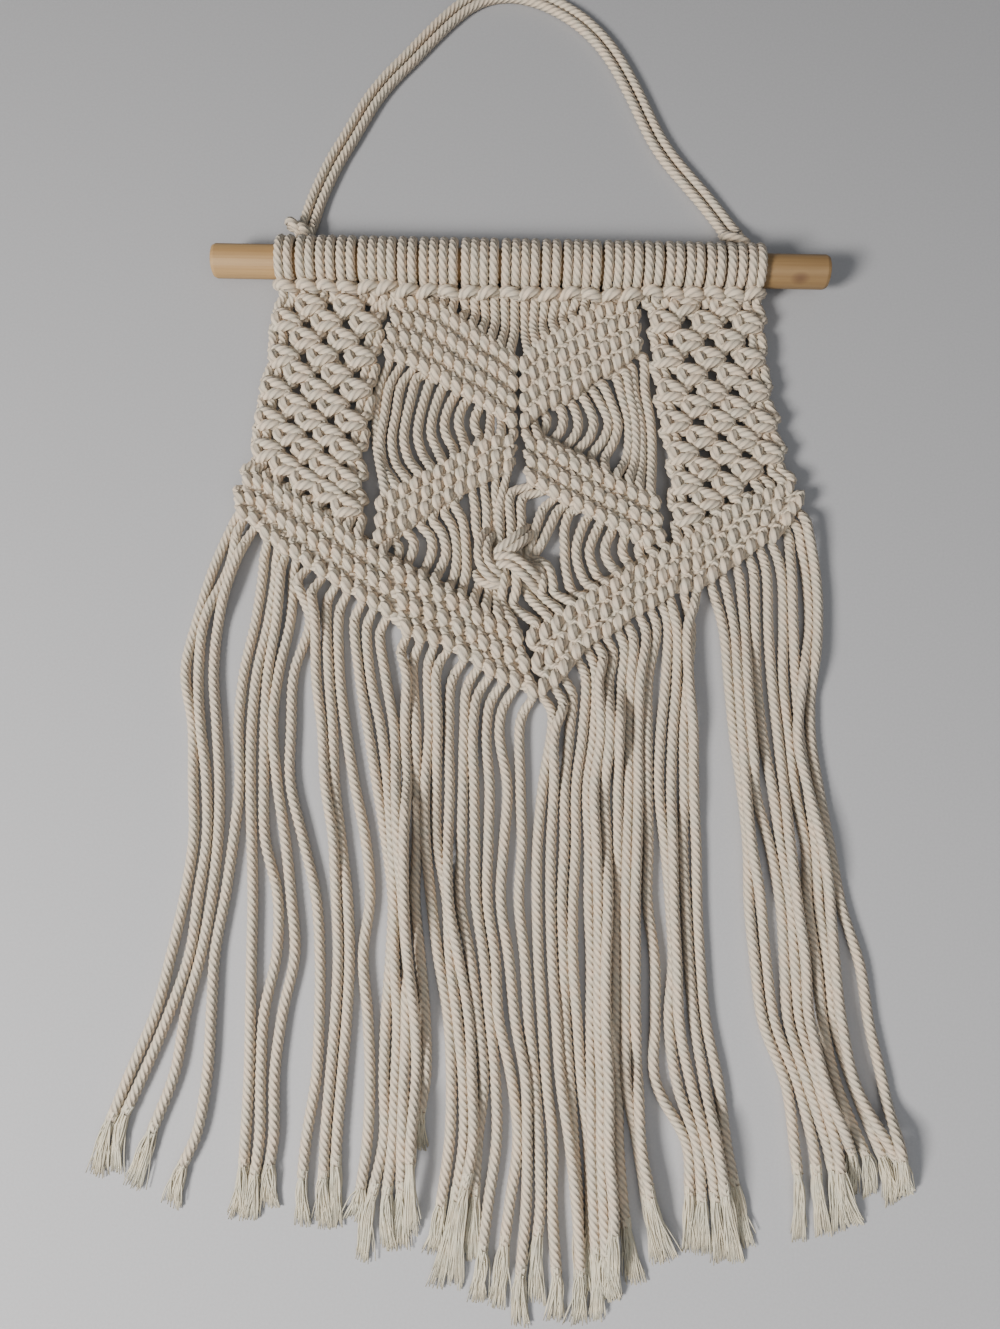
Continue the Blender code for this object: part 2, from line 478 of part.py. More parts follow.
def curve_through(points, steps):
    """A smooth line through the points: a Catmull-Rom curve."""
    line = []
    last = len(points) - 1
    for i in range(last):
        a, b, c, d = points[max(i - 1, 0)], points[i], points[i + 1], points[min(i + 2, last)]
        for k in range(steps):
            t = k / steps
            line.append(tuple(
                0.5 * (2 * q + (r - p) * t + (2 * p - 5 * q + 4 * r - s) * t ** 2
                       + (3 * q - p - 3 * r + s) * t ** 3)
                for p, q, r, s in zip(a, b, c, d)))
    line.append(tuple(points[-1]))
    return line


def beside(line, shift):
    """The line moved sideways, level with the surface."""
    moved = []
    last = len(line) - 1
    for i, (x, y, z) in enumerate(line):
        ax, ay, _ = line[max(i - 1, 0)]
        bx, by, _ = line[min(i + 1, last)]
        length = math.hypot(bx - ax, by - ay)
        moved.append((x - (by - ay) / length * shift, y + (bx - ax) / length * shift, z))
    return moved


def make_hanger_cord(name, shift, material):
    line = beside(curve_through(HANGER_ROUTE, HANGER_STEPS), shift)
    curve = bpy.data.curves.new(name, "CURVE")
    curve.dimensions = "3D"
    curve.bevel_depth = HANGER_GAUGE * MM
    curve.bevel_resolution = 2
    curve.use_fill_caps = True
    spline = curve.splines.new("POLY")
    spline.points.add(len(line) - 1)
    for point, (x, y, z) in zip(spline.points, line):
        point.co = (x * MM, y * MM, z * MM, 1.0)
    curve.materials.append(material)
    thing = bpy.data.objects.new(name, curve)
    bpy.context.scene.collection.objects.link(thing)
    return thing


def make_hanger_knot(name, x, material):
    """The knot tying the hanger on, pulled down against the wraps of the heading."""
    reach = WRAP_RADIUS + APART + HANGER_KNOT
    y = math.sqrt(reach ** 2 - (AXIS_HEIGHT - HANGER_KNOT_HEIGHT) ** 2)
    mesh = bmesh.new()
    bmesh.ops.create_icosphere(mesh, subdivisions=2, radius=HANGER_KNOT)
    bmesh.ops.translate(mesh, vec=(x, y, HANGER_KNOT_HEIGHT), verts=mesh.verts)
    return add_object(name, mesh, material)


def build():
    clear_scene()
    cotton = make_material("cotton_cord", (0.71, 0.63, 0.51), 0.95)
    wood = make_material("bare_wood", (0.62, 0.45, 0.27), 0.6)

    make_dowel(wood)
    make_heading(cotton)
    left_holes = [diamond_hole(*row) for row in PANEL_HOLES_LEFT]
    right_holes = [diamond_hole(*row) for row in PANEL_HOLES_RIGHT]
    flat_piece("side_panel_left", PANEL_LEFT, PANEL_THICK, cotton, left_holes)
    flat_piece("side_panel_right", PANEL_RIGHT, PANEL_THICK, cotton, right_holes)
    flat_piece("top_strands", TOP_STRANDS, STRAND_THICK, cotton)
    flat_piece("upper_band_left", UPPER_BAND_LEFT, BAND_THICK, cotton)
    flat_piece("upper_band_right", UPPER_BAND_RIGHT, BAND_THICK, cotton)
    flat_piece("eye_strands_left", EYE_LEFT, STRAND_THICK, cotton, EYE_SLITS_LEFT, 0.6)
    flat_piece("eye_strands_right", EYE_RIGHT, STRAND_THICK, cotton, EYE_SLITS_RIGHT, 0.6)
    flat_piece("lower_band_left", LOWER_BAND_LEFT, BAND_THICK, cotton)
    flat_piece("lower_band_right", LOWER_BAND_RIGHT, BAND_THICK, cotton)
    flat_piece("diamond_strands_left", DIAMOND_LEFT, STRAND_THICK, cotton, DIAMOND_SLITS_LEFT, 0.6)
    flat_piece("diamond_strands_right", DIAMOND_RIGHT, STRAND_THICK, cotton, DIAMOND_SLITS_RIGHT, 0.6)
    flat_piece("gathered_knot", GATHERED_KNOT, KNOT_THICK, cotton, (), 3.0)
    flat_piece("bottom_border_left", BORDER_LEFT, BAND_THICK, cotton)
    flat_piece("bottom_border_right", BORDER_RIGHT, BAND_THICK, cotton)
    make_fringe(cotton)
    make_hanger_cord("hanger_cord_outer", HANGER_SPREAD, cotton)
    make_hanger_cord("hanger_cord_inner", -HANGER_SPREAD, cotton)
    for name, x in HANGER_KNOTS:
        make_hanger_knot(name, x, cotton)


build()
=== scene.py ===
"""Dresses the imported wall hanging: every strand of its cotton cord with its knots and
combed ends, the bare dowel, the floor, the lights and the camera.

Sizes are in millimetres unless a name says otherwise; the meshes are made in metres.
"""

import math
import random

import bmesh
import bpy
import numpy as np
from mathutils import Matrix, Vector


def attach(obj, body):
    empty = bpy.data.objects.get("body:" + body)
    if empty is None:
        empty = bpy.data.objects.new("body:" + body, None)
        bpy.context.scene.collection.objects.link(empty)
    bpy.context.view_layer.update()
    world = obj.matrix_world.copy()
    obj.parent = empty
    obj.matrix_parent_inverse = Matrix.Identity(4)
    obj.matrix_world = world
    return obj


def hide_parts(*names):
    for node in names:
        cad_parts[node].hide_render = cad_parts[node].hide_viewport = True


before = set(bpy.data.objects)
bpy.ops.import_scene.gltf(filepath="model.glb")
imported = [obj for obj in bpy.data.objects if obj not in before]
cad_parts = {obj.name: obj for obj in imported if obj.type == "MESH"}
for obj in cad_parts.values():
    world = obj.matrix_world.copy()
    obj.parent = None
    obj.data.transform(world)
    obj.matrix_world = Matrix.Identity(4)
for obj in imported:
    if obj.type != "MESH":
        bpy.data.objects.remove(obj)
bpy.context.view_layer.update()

MM = 0.001
FULL_TURN = 2 * math.pi
SEED = 7  # of the small differences between one knot, hitch or yarn and the next

# ---- the cord ----------------------------------------------------------------
CORD = 5.0  # thickness of the twisted cotton cord
LAY = 15.75  # length of one full turn of its twist
RIDGES = 5  # plies that show round the cord
RING_STEP = LAY / (2 * RIDGES)  # spacing of the mesh rings along the cord
CURVE_PARTS = 16  # parts in which the curve between two rows of a route is measured
GROOVE = 0.8  # radius at the grooves between the plies, as a share of the full one
# thickness of a cord pulled tight, as a share of its full one
PULLED = 0.97  # in the square knots and the hitches
WRAPPED = 0.96  # round the dowel
TIED = 0.94  # round the big knot

# ---- the row of folded cords on the dowel --------------------------------------
AXIS_HEIGHT = 12.7  # height of the dowel's middle line
WRAP_RADIUS = 10.5  # middle of the cord round the dowel
# degrees round the dowel, from the strands over its top and back under it
WRAP_ANGLES = (*range(150, -101, -25), -120)
WRAP_NEAR = (2.15, 2.4)  # distance of a wrap from the middle of its folded cord
LOWEST_WRAP = 2.5  # height of the cord's middle where it is pressed flat under the dowel
HEADS = 24  # folded cords
HEAD_PITCH = 9.8  # spacing of the folded cords
HEADING_LEFT = -HEADS * HEAD_PITCH / 2
STRANDS = 2 * HEADS
HALF = STRANDS // 2  # strands to each half of the hanging
SIDE_STRANDS = 12  # strands to each side net
SIDE_HEADS = SIDE_STRANDS // 2
BAND_STRANDS = HALF - SIDE_STRANDS  # strands to each half of the bands
STRAND_START = (-14.6, 9.8)  # y, z where the strands leave the heading under the bars
FIRST_ROWS = ((3.0, 0.0), (-1.2, -2.6))  # y, z of a strand's first two places, from there
SIDE_RISE = 1.8  # how much further up the folded bars are over the side nets
BAR_MIDDLE = (-14.6, 15.4, 1.3)  # y, z and thickness of a bar's middle
BAR_SWAY = 0.4  # how far a bar's middle may be off sideways
BAR_SHIFT = (-0.6, 0.4)  # and up or down the hanging
BAR_TILT = (0.6, 1.4)  # how much further up one end of a bar is than its middle
# rows of a folded cord below this y and over this height move up with its bar
BAR_BELOW = -10.0
BAR_OVER = 7.0
HEAD_SWAY = 0.5  # how far a folded cord may be off its place
HEAD_START = ((1.0, -2.2), (3.0, 0.6))  # y, z of its first two places, from STRAND_START
HEAD_TAIL = 2.45  # distance of the strands from the middle of their folded cord
HEAD_RISE = (-10.6, 13.6)  # y, z where they rise to the dowel
# from behind the dowel round to the folded bar, columns distance from the cord's middle, y, z
# and thickness; the row with a thickness is the end of the bar
HEAD_FOLD = ((2.5, -8.6, 4.6), (4.3, -12.0, 8.0), (4.2, -14.4, 12.2, 1.1))

# ---- the side nets ---------------------------------------------------------------
KNOT_STRANDS = 4  # strands to a square knot
# the strands of a square knot round its middle, columns x, y, z and thickness, each from the
# top down: the left strand makes both front bars, the right one closes them from behind
SQUARE_KNOT = (
    ((-6.95, 3.9, 6.4), (-5.7, 4.1, 7.8), (-3.3, 3.3, 9.6, 1.1), (0.0, 2.1, 10.4, 1.18),
     (3.0, 1.2, 9.8, 1.1), (5.0, 0.3, 8.8), (5.5, -0.9, 8.0), (4.2, -1.9, 8.8, 1.05),
     (1.4, -2.6, 10.0, 1.15), (-1.8, -3.4, 9.8, 1.12), (-4.6, -4.0, 8.2), (-6.95, -3.9, 6.4)),
    ((-2.4, 3.7, 6.6), (-2.3, 0.3, 7.1, 1.1), (-2.4, -3.7, 6.6)),
    ((2.4, 3.7, 6.6), (2.1, 0.0, 6.4), (2.4, -3.7, 6.6)),
    ((6.95, 3.9, 6.4), (6.0, 3.5, 8.6), (4.7, 2.5, 8.4), (3.2, 0.8, 5.4), (0.0, 0.2, 3.4),
     (-3.4, 1.4, 5.6), (-5.0, 1.5, 9.2, 1.05), (-5.7, -0.3, 10.4, 1.18), (-5.1, -2.0, 9.4, 1.05),
     (-3.4, -2.2, 5.4), (0.0, -1.6, 3.2), (4.4, -2.8, 5.0), (6.95, -3.9, 6.4)),
)
# how far a square knot may be off its place in x and y, and the slope of its turn
KNOT_SWAY = ((-0.5, 0.5), (-0.4, 0.4), (-0.22, 0.12))
EDGE_REACH = 16.2  # how far a net's edge strand is from the nearest knot in a row that it skips
EDGE_GAP = 4.4  # how much nearer the strand beside it is
EDGE_HEIGHT = 7.2  # height of the edge strand there; the one beside it is 1 mm lower
# one row a row of knots, columns y, number of the first strand, x of each knot
PANEL_KNOTS_LEFT = (
    (-20.0, 2, (-101.0, -82.0)), (-28.8, 0, (-111.5, -93.0, -74.5)),
    (-38.0, 2, (-102.5, -84.5)), (-46.5, 0, (-112.5, -94.0, -75.5)),
    (-55.5, 2, (-104.0, -86.0)), (-63.5, 0, (-115.0, -96.0, -77.0)),
    (-71.5, 2, (-106.0, -87.5)), (-79.0, 0, (-116.5, -97.5, -78.5)),
    (-86.5, 2, (-107.5, -89.0)), (-94.0, 0, (-117.5, -99.0, -80.5)),
    (-101.5, 2, (-108.5, -89.5)), (-108.5, 4, (-98.0, -79.5)), (-115.0, 6, (-88.0,)),
    (-121.5, 8, (-78.5,)),
)
PANEL_KNOTS_RIGHT = (
    (-17.0, 2, (80.5, 100.0)), (-25.8, 0, (71.5, 91.0, 110.5)),
    (-35.0, 2, (82.0, 101.5)), (-43.8, 0, (72.5, 92.0, 111.5)),
    (-53.0, 2, (83.0, 102.5)), (-61.3, 0, (74.0, 93.5, 113.0)),
    (-69.0, 2, (85.0, 104.5)), (-76.5, 0, (76.0, 96.0, 116.0)),
    (-84.5, 2, (87.5, 107.0)), (-92.0, 0, (78.5, 98.5, 118.5)),
    (-99.5, 2, (89.0, 108.5)), (-107.5, 0, (80.0, 99.5)), (-115.0, 2, (89.5,)), (-122.0, 0, (80.5,)),
)

# ---- the bands of hitches -----------------------------------------------------------
UPPER_ROWS = 4  # rows of hitches in the V under the heading
LOWER_ROWS = 3  # rows in the upside-down V below it
WIDE_ROWS = 3  # rows in the border
NARROW_ROWS = 2  # rows in the border's ends
NARROW = 20.0  # it is no wider than this there
FRONT = 9.5  # height of a strand's middle where it passes over a holding cord
BEHIND = 7.6  # and where it dips between two
DIP_LEAN = -0.6  # how far to the side of the hitches it dips
DIP_THICKNESS = 0.82
# one hitch from the top down, columns distance to the side, distance above the middle of its
# row as a share of the row's width, height and thickness
HITCH = (
    (-1.7, 0.44, 8.9, 1.06),
    (-0.9, 0.25, 8.3, 0.95),
    (0.1, 0.07, FRONT, 1.18),
    (0.5, -0.17, FRONT, 1.2),
    (0.4, -0.35, 8.1, 1.0),
)
# where the last hitch of a band ends: how much further up, at which height and thickness
LAST_TUCK = (0.2, 5.2, 0.9)
HITCH_SWAY = 0.25  # how far a hitch may be off its place
LEAN_RISING = -1.0  # which way a hitch leans, in a row that rises to the right
LEAN_FALLING = 1.0  # and in one that falls to the right
BORDER_ROOM = 0.37  # most room above the border's first row, as a share of a row
NO_ROOM_STRANDS = 7  # strands at each side of the border with no room above them
ROOM_STRANDS = 6  # and the next ones, over which the room grows to its most
# height and thickness of the cords along a band
EDGE_CORD = (3.3, 0.9)  # under its upper edge
ROW_CORD = (6.5, 1.25)  # inside a row of hitches
BETWEEN_CORD = (6.5, 1.1)  # between two rows

LINE_STRANDS = 12  # strands that cross each of the next lines
# where the strands enter and leave the bands
UPPER_V_TOP_LEFT = (
    (-60.7, -13.0), (-50.6, -12.6), (-45.2, -14.0), (-37.7, -17.0), (-26.8, -25.2),
    (-16.5, -32.2), (-8.0, -38.5), (0.0, -45.0),
)
UPPER_V_TOP_RIGHT = (
    (1.0, -45.0), (10.0, -35.0), (19.6, -29.4), (30.2, -20.8), (41.3, -14.6), (57.5, -13.0),
)
UPPER_V_FOOT_LEFT = (
    (-66.6, -46.5), (-52.4, -51.4), (-45.1, -55.4), (-39.2, -58.9), (-27.0, -66.3),
    (-15.8, -72.4), (-1.0, -83.0),
)
UPPER_V_FOOT_RIGHT = (
    (1.6, -83.0), (13.0, -72.2), (27.3, -65.2), (37.8, -56.3), (49.9, -49.4), (58.6, -39.8),
)
LOWER_V_TOP_LEFT = (
    (-65.6, -117.0), (-58.0, -112.0), (-47.9, -105.5), (-34.9, -99.0), (-22.4, -91.0),
    (-12.1, -84.5), (-0.5, -84.0),
)
LOWER_V_TOP_RIGHT = (
    (2.4, -84.0), (11.0, -84.6), (20.1, -90.6), (34.3, -97.0), (48.4, -104.2), (66.6, -114.0),
)
LOWER_V_FOOT_LEFT = (
    (-66.5, -139.0), (-61.1, -138.5), (-52.0, -131.6), (-36.0, -120.5), (-22.0, -112.4),
    (-8.0, -104.7), (-1.0, -103.0),
)
LOWER_V_FOOT_RIGHT = (
    (4.2, -108.0), (8.6, -110.8), (20.5, -118.0), (34.7, -125.0), (48.7, -132.1),
    (62.8, -139.1), (70.0, -135.0),
)
BORDER_TOP_LEFT_OUTER = ((-128.0, -103.6), (-118.0, -106.0), (-94.0, -120.0), (-70.0, -134.2))
BORDER_TOP_LEFT_INNER = (
    (-70.0, -134.2), (-52.0, -144.2), (-35.0, -153.4), (-17.4, -163.4), (1.0, -172.2),
)
BORDER_TOP_RIGHT_INNER = (
    (2.4, -172.2), (9.1, -170.7), (16.9, -166.5), (32.1, -157.3), (48.1, -147.3), (72.0, -134.3),
)
BORDER_TOP_RIGHT_OUTER = ((72.0, -134.3), (79.6, -129.9), (105.7, -112.9), (128.0, -103.6))
# x, y where each strand leaves the border
BORDER_LEAVES = (
    (-131, -123), (-130, -129), (-124, -132), (-118, -139), (-113, -142), (-109, -146), (-104, -148),
    (-98, -152), (-91, -157), (-84, -160), (-78, -164), (-71, -168), (-65, -171), (-59, -175),
    (-49, -184), (-43, -187), (-36, -188), (-29, -190), (-22, -195), (-15, -198), (-10, -202),
    (-4, -205), (2, -207), (10, -212), (15, -210), (20, -206), (24, -201), (30, -192), (34, -187),
    (38, -184), (43, -182), (48, -178), (52, -174), (58, -171), (63, -168), (68, -165), (72, -162),
    (79, -161), (85, -160), (92, -155), (98, -151), (105, -146), (111, -141), (116, -137), (122, -135),
    (129, -126), (132, -122), (134, -118),
)

# ---- loose strands between the bands, one row a strand, columns x, y, from the
# outermost strand of the left half to the outermost of the right half -------------
LOOSE_HEIGHT = 4.4
LOOSE_LIFT = 0.4  # every second strand is this much higher, and the others lower
TOP_HEIGHT = 5.2  # height of the strands above the V
TOP_DROP = 12.0  # they hang freely where the V is this far below the heading
TOP_SHARE = 0.6  # the share of the way down where their height is set
EYE_ROUTES = (
    ((-67.4, -62.0), (-67.4, -86.5)),
    ((-62.0, -59.2), (-64.0, -74.6), (-65.4, -87.2), (-63.5, -99.8)),
    ((-56.4, -58.0), (-58.5, -72.9), (-60.1, -86.6), (-57.6, -98.6)),
    ((-48.8, -54.8), (-51.6, -66.1), (-53.8, -78.9), (-54.1, -87.0), (-51.5, -96.5)),
    ((-41.5, -54.6), (-45.5, -67.0), (-47.7, -79.8), (-47.5, -85.9), (-44.9, -93.9)),
    ((-35.6, -58.6), (-39.7, -69.5), (-41.4, -79.7), (-40.9, -85.0), (-37.8, -92.0)),
    ((-30.0, -62.6), (-33.6, -70.1), (-35.1, -78.3), (-33.7, -84.6), (-30.7, -89.8)),
    ((-24.6, -66.1), (-27.6, -72.0), (-28.2, -78.4), (-26.3, -84.5)),
    ((-18.7, -69.6), (-20.6, -74.7), (-20.3, -79.8), (-17.9, -84.3)),
    (), (), (), (), (),
    ((11.3, -70.0), (13.8, -74.0), (13.4, -78.6), (10.7, -83.2)),
    ((19.7, -68.3), (21.8, -74.4), (20.5, -81.0), (17.2, -85.6)),
    ((24.7, -65.1), (28.4, -72.2), (28.9, -79.3), (25.9, -85.1), (22.0, -89.1)),
    ((29.5, -61.2), (34.6, -69.8), (36.4, -76.6), (34.4, -83.8), (28.2, -91.7)),
    ((34.1, -57.8), (40.4, -67.4), (43.6, -75.5), (41.8, -83.0), (34.9, -93.8)),
    ((39.9, -55.8), (45.2, -67.0), (48.0, -76.9), (46.1, -85.6), (41.8, -94.2)),
    ((46.4, -51.1), (50.5, -64.6), (53.0, -76.3), (53.3, -86.4), (51.4, -95.5)),
    ((51.5, -49.7), (53.9, -61.5), (56.2, -74.2), (56.7, -86.9), (55.7, -96.4)),
    ((54.4, -46.5), (56.3, -61.2), (59.0, -75.4), (59.5, -89.0), (59.3, -96.7)),
    ((60.1, -41.7), (61.1, -58.8), (63.7, -76.1), (64.2, -94.3)),
)
DIAMOND_ROUTES = (
    (), (),
    ((-57.5, -135.5), (-54.9, -139.3), (-54.9, -143.7), (-56.5, -146.8)),
    ((-51.7, -130.7), (-47.9, -136.7), (-48.2, -142.3), (-50.7, -148.1)),
    ((-45.2, -127.6), (-40.0, -134.4), (-39.2, -141.6), (-42.4, -150.4)),
    ((-39.3, -125.5), (-34.4, -133.0), (-32.6, -142.5), (-35.6, -151.2)),
    ((-34.1, -121.3), (-29.8, -129.5), (-27.6, -141.1), (-28.0, -150.6), (-29.9, -156.4)),
    ((-29.5, -117.0), (-25.3, -126.0), (-23.3, -139.4), (-22.9, -151.0), (-24.5, -159.2)),
    (), (), (), (), (), (), (), (),
    ((26.0, -120.3), (23.0, -128.2), (23.0, -137.0), (23.7, -149.6), (27.5, -160.6)),
    ((32.9, -124.6), (29.4, -133.5), (28.4, -140.5), (30.0, -149.0), (33.0, -155.2)),
    ((39.3, -126.8), (35.8, -134.8), (34.6, -140.4), (36.3, -147.4), (39.5, -153.4)),
    ((45.2, -129.8), (42.3, -136.2), (42.0, -141.0), (44.3, -146.3), (46.8, -148.9)),
    ((51.9, -130.9), (50.3, -136.0), (50.4, -140.9), (53.1, -145.4)),
    ((58.7, -134.7), (57.6, -138.5), (59.0, -143.4)),
    (), (),
)
# the eight strands through the big knot, columns x, y, z
KNOT_ROUTES = (
    ((-19.3, -120.5, 4.0), (-18.9, -128.1, 4.4), (-17.3, -135.2, 4.0), (-15.2, -144.8, 3.4),
     (-15.4, -153.5, 3.8), (-17.6, -159.5, 4.2)),
    ((-13.9, -120.4, 4.4), (-13.7, -127.9, 4.4), (-13.4, -134.9, 3.2), (-12.4, -144.5, 2.8),
     (-11.6, -154.8, 3.4), (-12.4, -161.5, 4.0)),
    ((-10.2, -118.0, 3.0), (-9.8, -128.0, 2.7), (-9.4, -140.0, 2.6), (-9.0, -150.0, 2.6),
     (-8.8, -160.0, 3.2)),
    ((-7.7, -118.0, 4.4), (-7.6, -129.0, 5.8), (-7.2, -138.3, 6.4), (-6.0, -145.5, 6.2),
     (-5.3, -152.2, 8.3), (-5.6, -158.4, 7.8), (-6.0, -165.5, 5.4)),
    ((-2.4, -112.0, 4.4), (-2.4, -128.0, 5.6), (-2.0, -138.2, 6.2), (-0.5, -145.4, 6.4),
     (0.3, -152.1, 8.5), (0.6, -159.5, 7.5), (-0.6, -167.0, 5.0)),
    ((3.2, -114.0, 4.0), (2.4, -127.8, 5.0), (1.4, -135.3, 5.4), (1.6, -144.7, 4.0),
     (4.2, -153.1, 3.2), (5.8, -160.7, 3.2)),
    ((13.0, -119.1, 4.5), (9.8, -127.7, 5.2), (6.9, -137.6, 5.4), (4.9, -143.2, 4.0),
     (7.0, -146.6, 4.6), (10.9, -149.6, 7.5), (12.6, -155.7, 6.8), (12.6, -161.8, 5.0)),
    ((19.7, -120.4, 4.5), (16.4, -127.5, 5.0), (11.8, -137.5, 5.4), (8.4, -143.1, 4.2),
     (11.2, -145.3, 5.0), (15.1, -148.5, 6.8), (17.4, -155.4, 6.0), (18.4, -160.5, 4.8)),
)
KNOT_FIRST = 20  # the first of its strands
KNOT_LOOSE = 2  # rows of each that are still above the knot
# the doubled cord tied round them: the middle of each pair that shows, columns x, y, z
KNOT_WRAPS = (
    ((-16.6, -150.2, 3.0), (-15.6, -153.0, 5.2), (-13.0, -155.1, 7.6), (-9.8, -155.8, 8.0),
     (-6.6, -155.2, 7.0), (-2.9, -153.1, 4.6)),
    ((-11.2, -130.8, 2.8), (-12.6, -133.4, 6.6), (-14.6, -137.1, 9.6), (-15.4, -143.2, 11.6),
     (-14.2, -148.8, 12.0), (-11.0, -152.6, 11.2), (-7.6, -154.6, 8.4), (-4.6, -154.8, 4.8)),
    ((-12.4, -145.6, 5.0), (-8.9, -144.9, 9.4), (-5.2, -142.2, 11.8), (-1.0, -138.8, 12.0),
     (2.9, -135.0, 10.2), (5.8, -131.2, 6.0), (7.0, -129.0, 2.8)),
    ((-13.0, -149.0, 4.8), (-9.8, -147.6, 9.6), (-5.9, -146.9, 12.4), (-1.7, -147.6, 13.2),
     (2.5, -150.3, 12.8), (6.4, -153.4, 11.0), (9.6, -156.0, 7.4), (11.8, -157.8, 3.4)),
)
WRAP_SPREAD = 1.95  # each cord's distance from the middle of its pair

# ---- the fringe ------------------------------------------------------------------
# strands that swing sideways as they leave the border, columns the first strand, the last,
# and how far across and up they get before they turn down
SWINGS = ((7, 16, -3.0, -4.6), (17, 23, -5.5, -4.6), (24, 35, 3.0, -6.4))
# one row a strand: its x at each height of FRINGE_ROWS, with _ where it hasn't left the border,
# where its combed end starts, and its tip
FRINGE_ROWS = tuple(range(-150, -426, -25))
_ = None
FRINGE = (
    ((-141, -147, -151, -146, -144, -142, -144, -148, -153, -162), (-169, -395), (-173, -417)),
    ((-134, -143, -145, -142, -138, -136, -138, -140, -147, -156), (-163, -392), (-166, -415)),
    ((-131, -137, -138, -135, -132, -131, -132, -135, -140, -143), (-151, -399), (-158, -421)),
    ((-118, -120, -124, -125, -123, -124, -126, -129, -129, -129, -132), (-137, -412), (-140, -429)),
    ((-112, -114, -118, -119, -118, -116, -114, -113, -112, -111, -111), (-111, -412), (-113, -433)),
    ((-108, -110, -113, -113, -112, -110, -103, -102, -106, -106, -105), (-106, -415), (-108, -433)),
    ((_, -104, -108, -109, -106, -101, -97, -94, -98, -100, -99), (-100, -411), (-100, -428)),
    ((_, -95, -101, -101, -100, -93, -86, -83, -82, -82, -85), (-86, -416), (-85, -435)),
    ((_, -92, -91, -87, -84, -79, -77, -75, -75, -76, -77), (-77, -416), (-76, -436)),
    ((_, -87, -85, -82, -80, -76, -72, -70, -70, -71, -72), (-72, -411), (-71, -435)),
    ((_, -80, -80, -76, -71, -65, -62, -64, -61, -59, -59), (-61, -420), (-64, -433)),
    ((_, -72, -71, -66, -61, -56, -52, -52, -53, -53, -52), (-56, -422), (-59, -448)),
    ((_, _, -66, -60, -56, -53, -51, -50, -48, -48, -48), (-50, -422), (-48, -444)),
    ((_, _, -59, -54, -52, -50, -47, -45, -44, -44, -44), (-44, -420), (-44, -443)),
    ((_, _, -49, -49, -47, -47, -46, -44, -40, -39, -40), (-40, -408), (-39, -438)),
    ((_, _, -44, -44, -43, -42, -42, -39, -36, -35), (-37, -389), (-37, -404)),
    ((_, _, -37, -38, -39, -38, -35, -31, -26, -24, -24), (-27, -426), (-31, -445)),
    ((_, _, -30, -34, -34, -33, -28, -26, -22, -19, -18), (-21, -424), (-28, -457)),
    ((_, _, -23, -29, -28, -28, -27, -22, -17, -15, -14), (-17, -418), (-20, -457)),
    ((_, _, _, -22, -22, -22, -22, -17, -13, -10, -12), (-13, -422), (-14, -447)),
    ((_, _, _, -18, -17, -16, -15, -11, -8, -5, -4, -7), (-9, -443), (-11, -463)),
    ((_, _, _, -12, -10, -10, -10, -6, -4, 2, 5, 2), (0, -441), (-3, -465)),
    ((_, _, _, -6, -2, -3, -4, 0, 3, 8, 9, 9), (7, -452), (8, -472)),
    ((_, _, _, 1, 4, 5, 4, 7, 9, 12, 14, 15), (14, -437), (14, -463)),
    ((_, _, _, 17, 14, 12, 12, 13, 15, 17, 20, 20), (22, -452), (21, -470)),
    ((_, _, _, 19, 19, 18, 18, 19, 21, 23, 27, 30), (32, -452), (31, -471)),
    ((_, _, _, 26, 24, 24, 23, 24, 25, 27, 29, 31), (31, -433), (33, -461)),
    ((_, _, 31, 32, 29, 29, 28, 28, 30, 32, 35, 36), (36, -433), (36, -458)),
    ((_, _, 36, 37, 34, 35, 35, 36, 36, 36, 36, 37), (38, -442), (39, -469)),
    ((_, _, 39, 40, 37, 38, 39, 39, 39, 40, 40, 41), (42, -442), (45, -462)),
    ((_, _, 44, 44, 42, 43, 43, 42, 42, 43, 43, 45), (45, -433), (46, -461)),
    ((_, _, 50, 48, 48, 48, 48, 47, 47, 48, 48, 50), (51, -433), (55, -455)),
    ((_, _, 54, 53, 53, 52, 51, 51, 51, 51, 56), (60, -424), (65, -447)),
    ((_, _, 58, 57, 57, 56, 55, 55, 55, 56, 57), (61, -420), (69, -445)),
    ((_, 62, 62, 61.5, 61.5, 61.5, 61, 64, 64, 64, 77), (78, -420), (78, -442)),
    ((_, 70, 70, 67.5, 66.5, 69, 71, 72, 70, 73, 81), (83, -422), (83, -443)),
    ((_, 75, 75, 73, 72, 72, 72, 73, 74, 79, 85), (89, -422), (91, -446)),
    ((_, 82, 80, 78, 78, 77, 78, 79, 81, 85, 89), (92, -418), (97, -446)),
    ((_, 80, 80, 82, 82, 83, 83, 84, 86, 91, 94), (97, -416), (102, -440)),
    ((_, 97, 99, 101, 104, 106, 106, 108, 111, 120, 123), (124, -411), (124, -437)),
    ((_, 102, 103, 104, 105, 107, 111, 113, 116, 125, 131), (132, -411), (135, -435)),
    ((106, 107, 107, 108, 110, 116, 120, 121, 122, 129, 137), (139, -409), (142, -433)),
    ((112, 112, 112, 114, 118, 121, 124, 125, 127, 133, 140), (141, -409), (148, -431)),
    ((118, 118, 119, 121, 123, 124, 126, 129, 130, 135), (146, -401), (147, -419)),
    ((125, 125, 124, 126, 128, 132, 132, 135, 137, 142), (153, -403), (155, -419)),
    ((129, 129, 130, 131, 134, 136, 137, 140, 142, 149), (160, -403), (164, -422)),
    ((136.5, 137, 132, 129, 133, 138, 141, 142, 144, 149), (165, -403), (168, -420)),
    ((140, 140, 137, 136, 139, 143, 147, 154, 157, 162), (166, -403), (171, -419)),
)
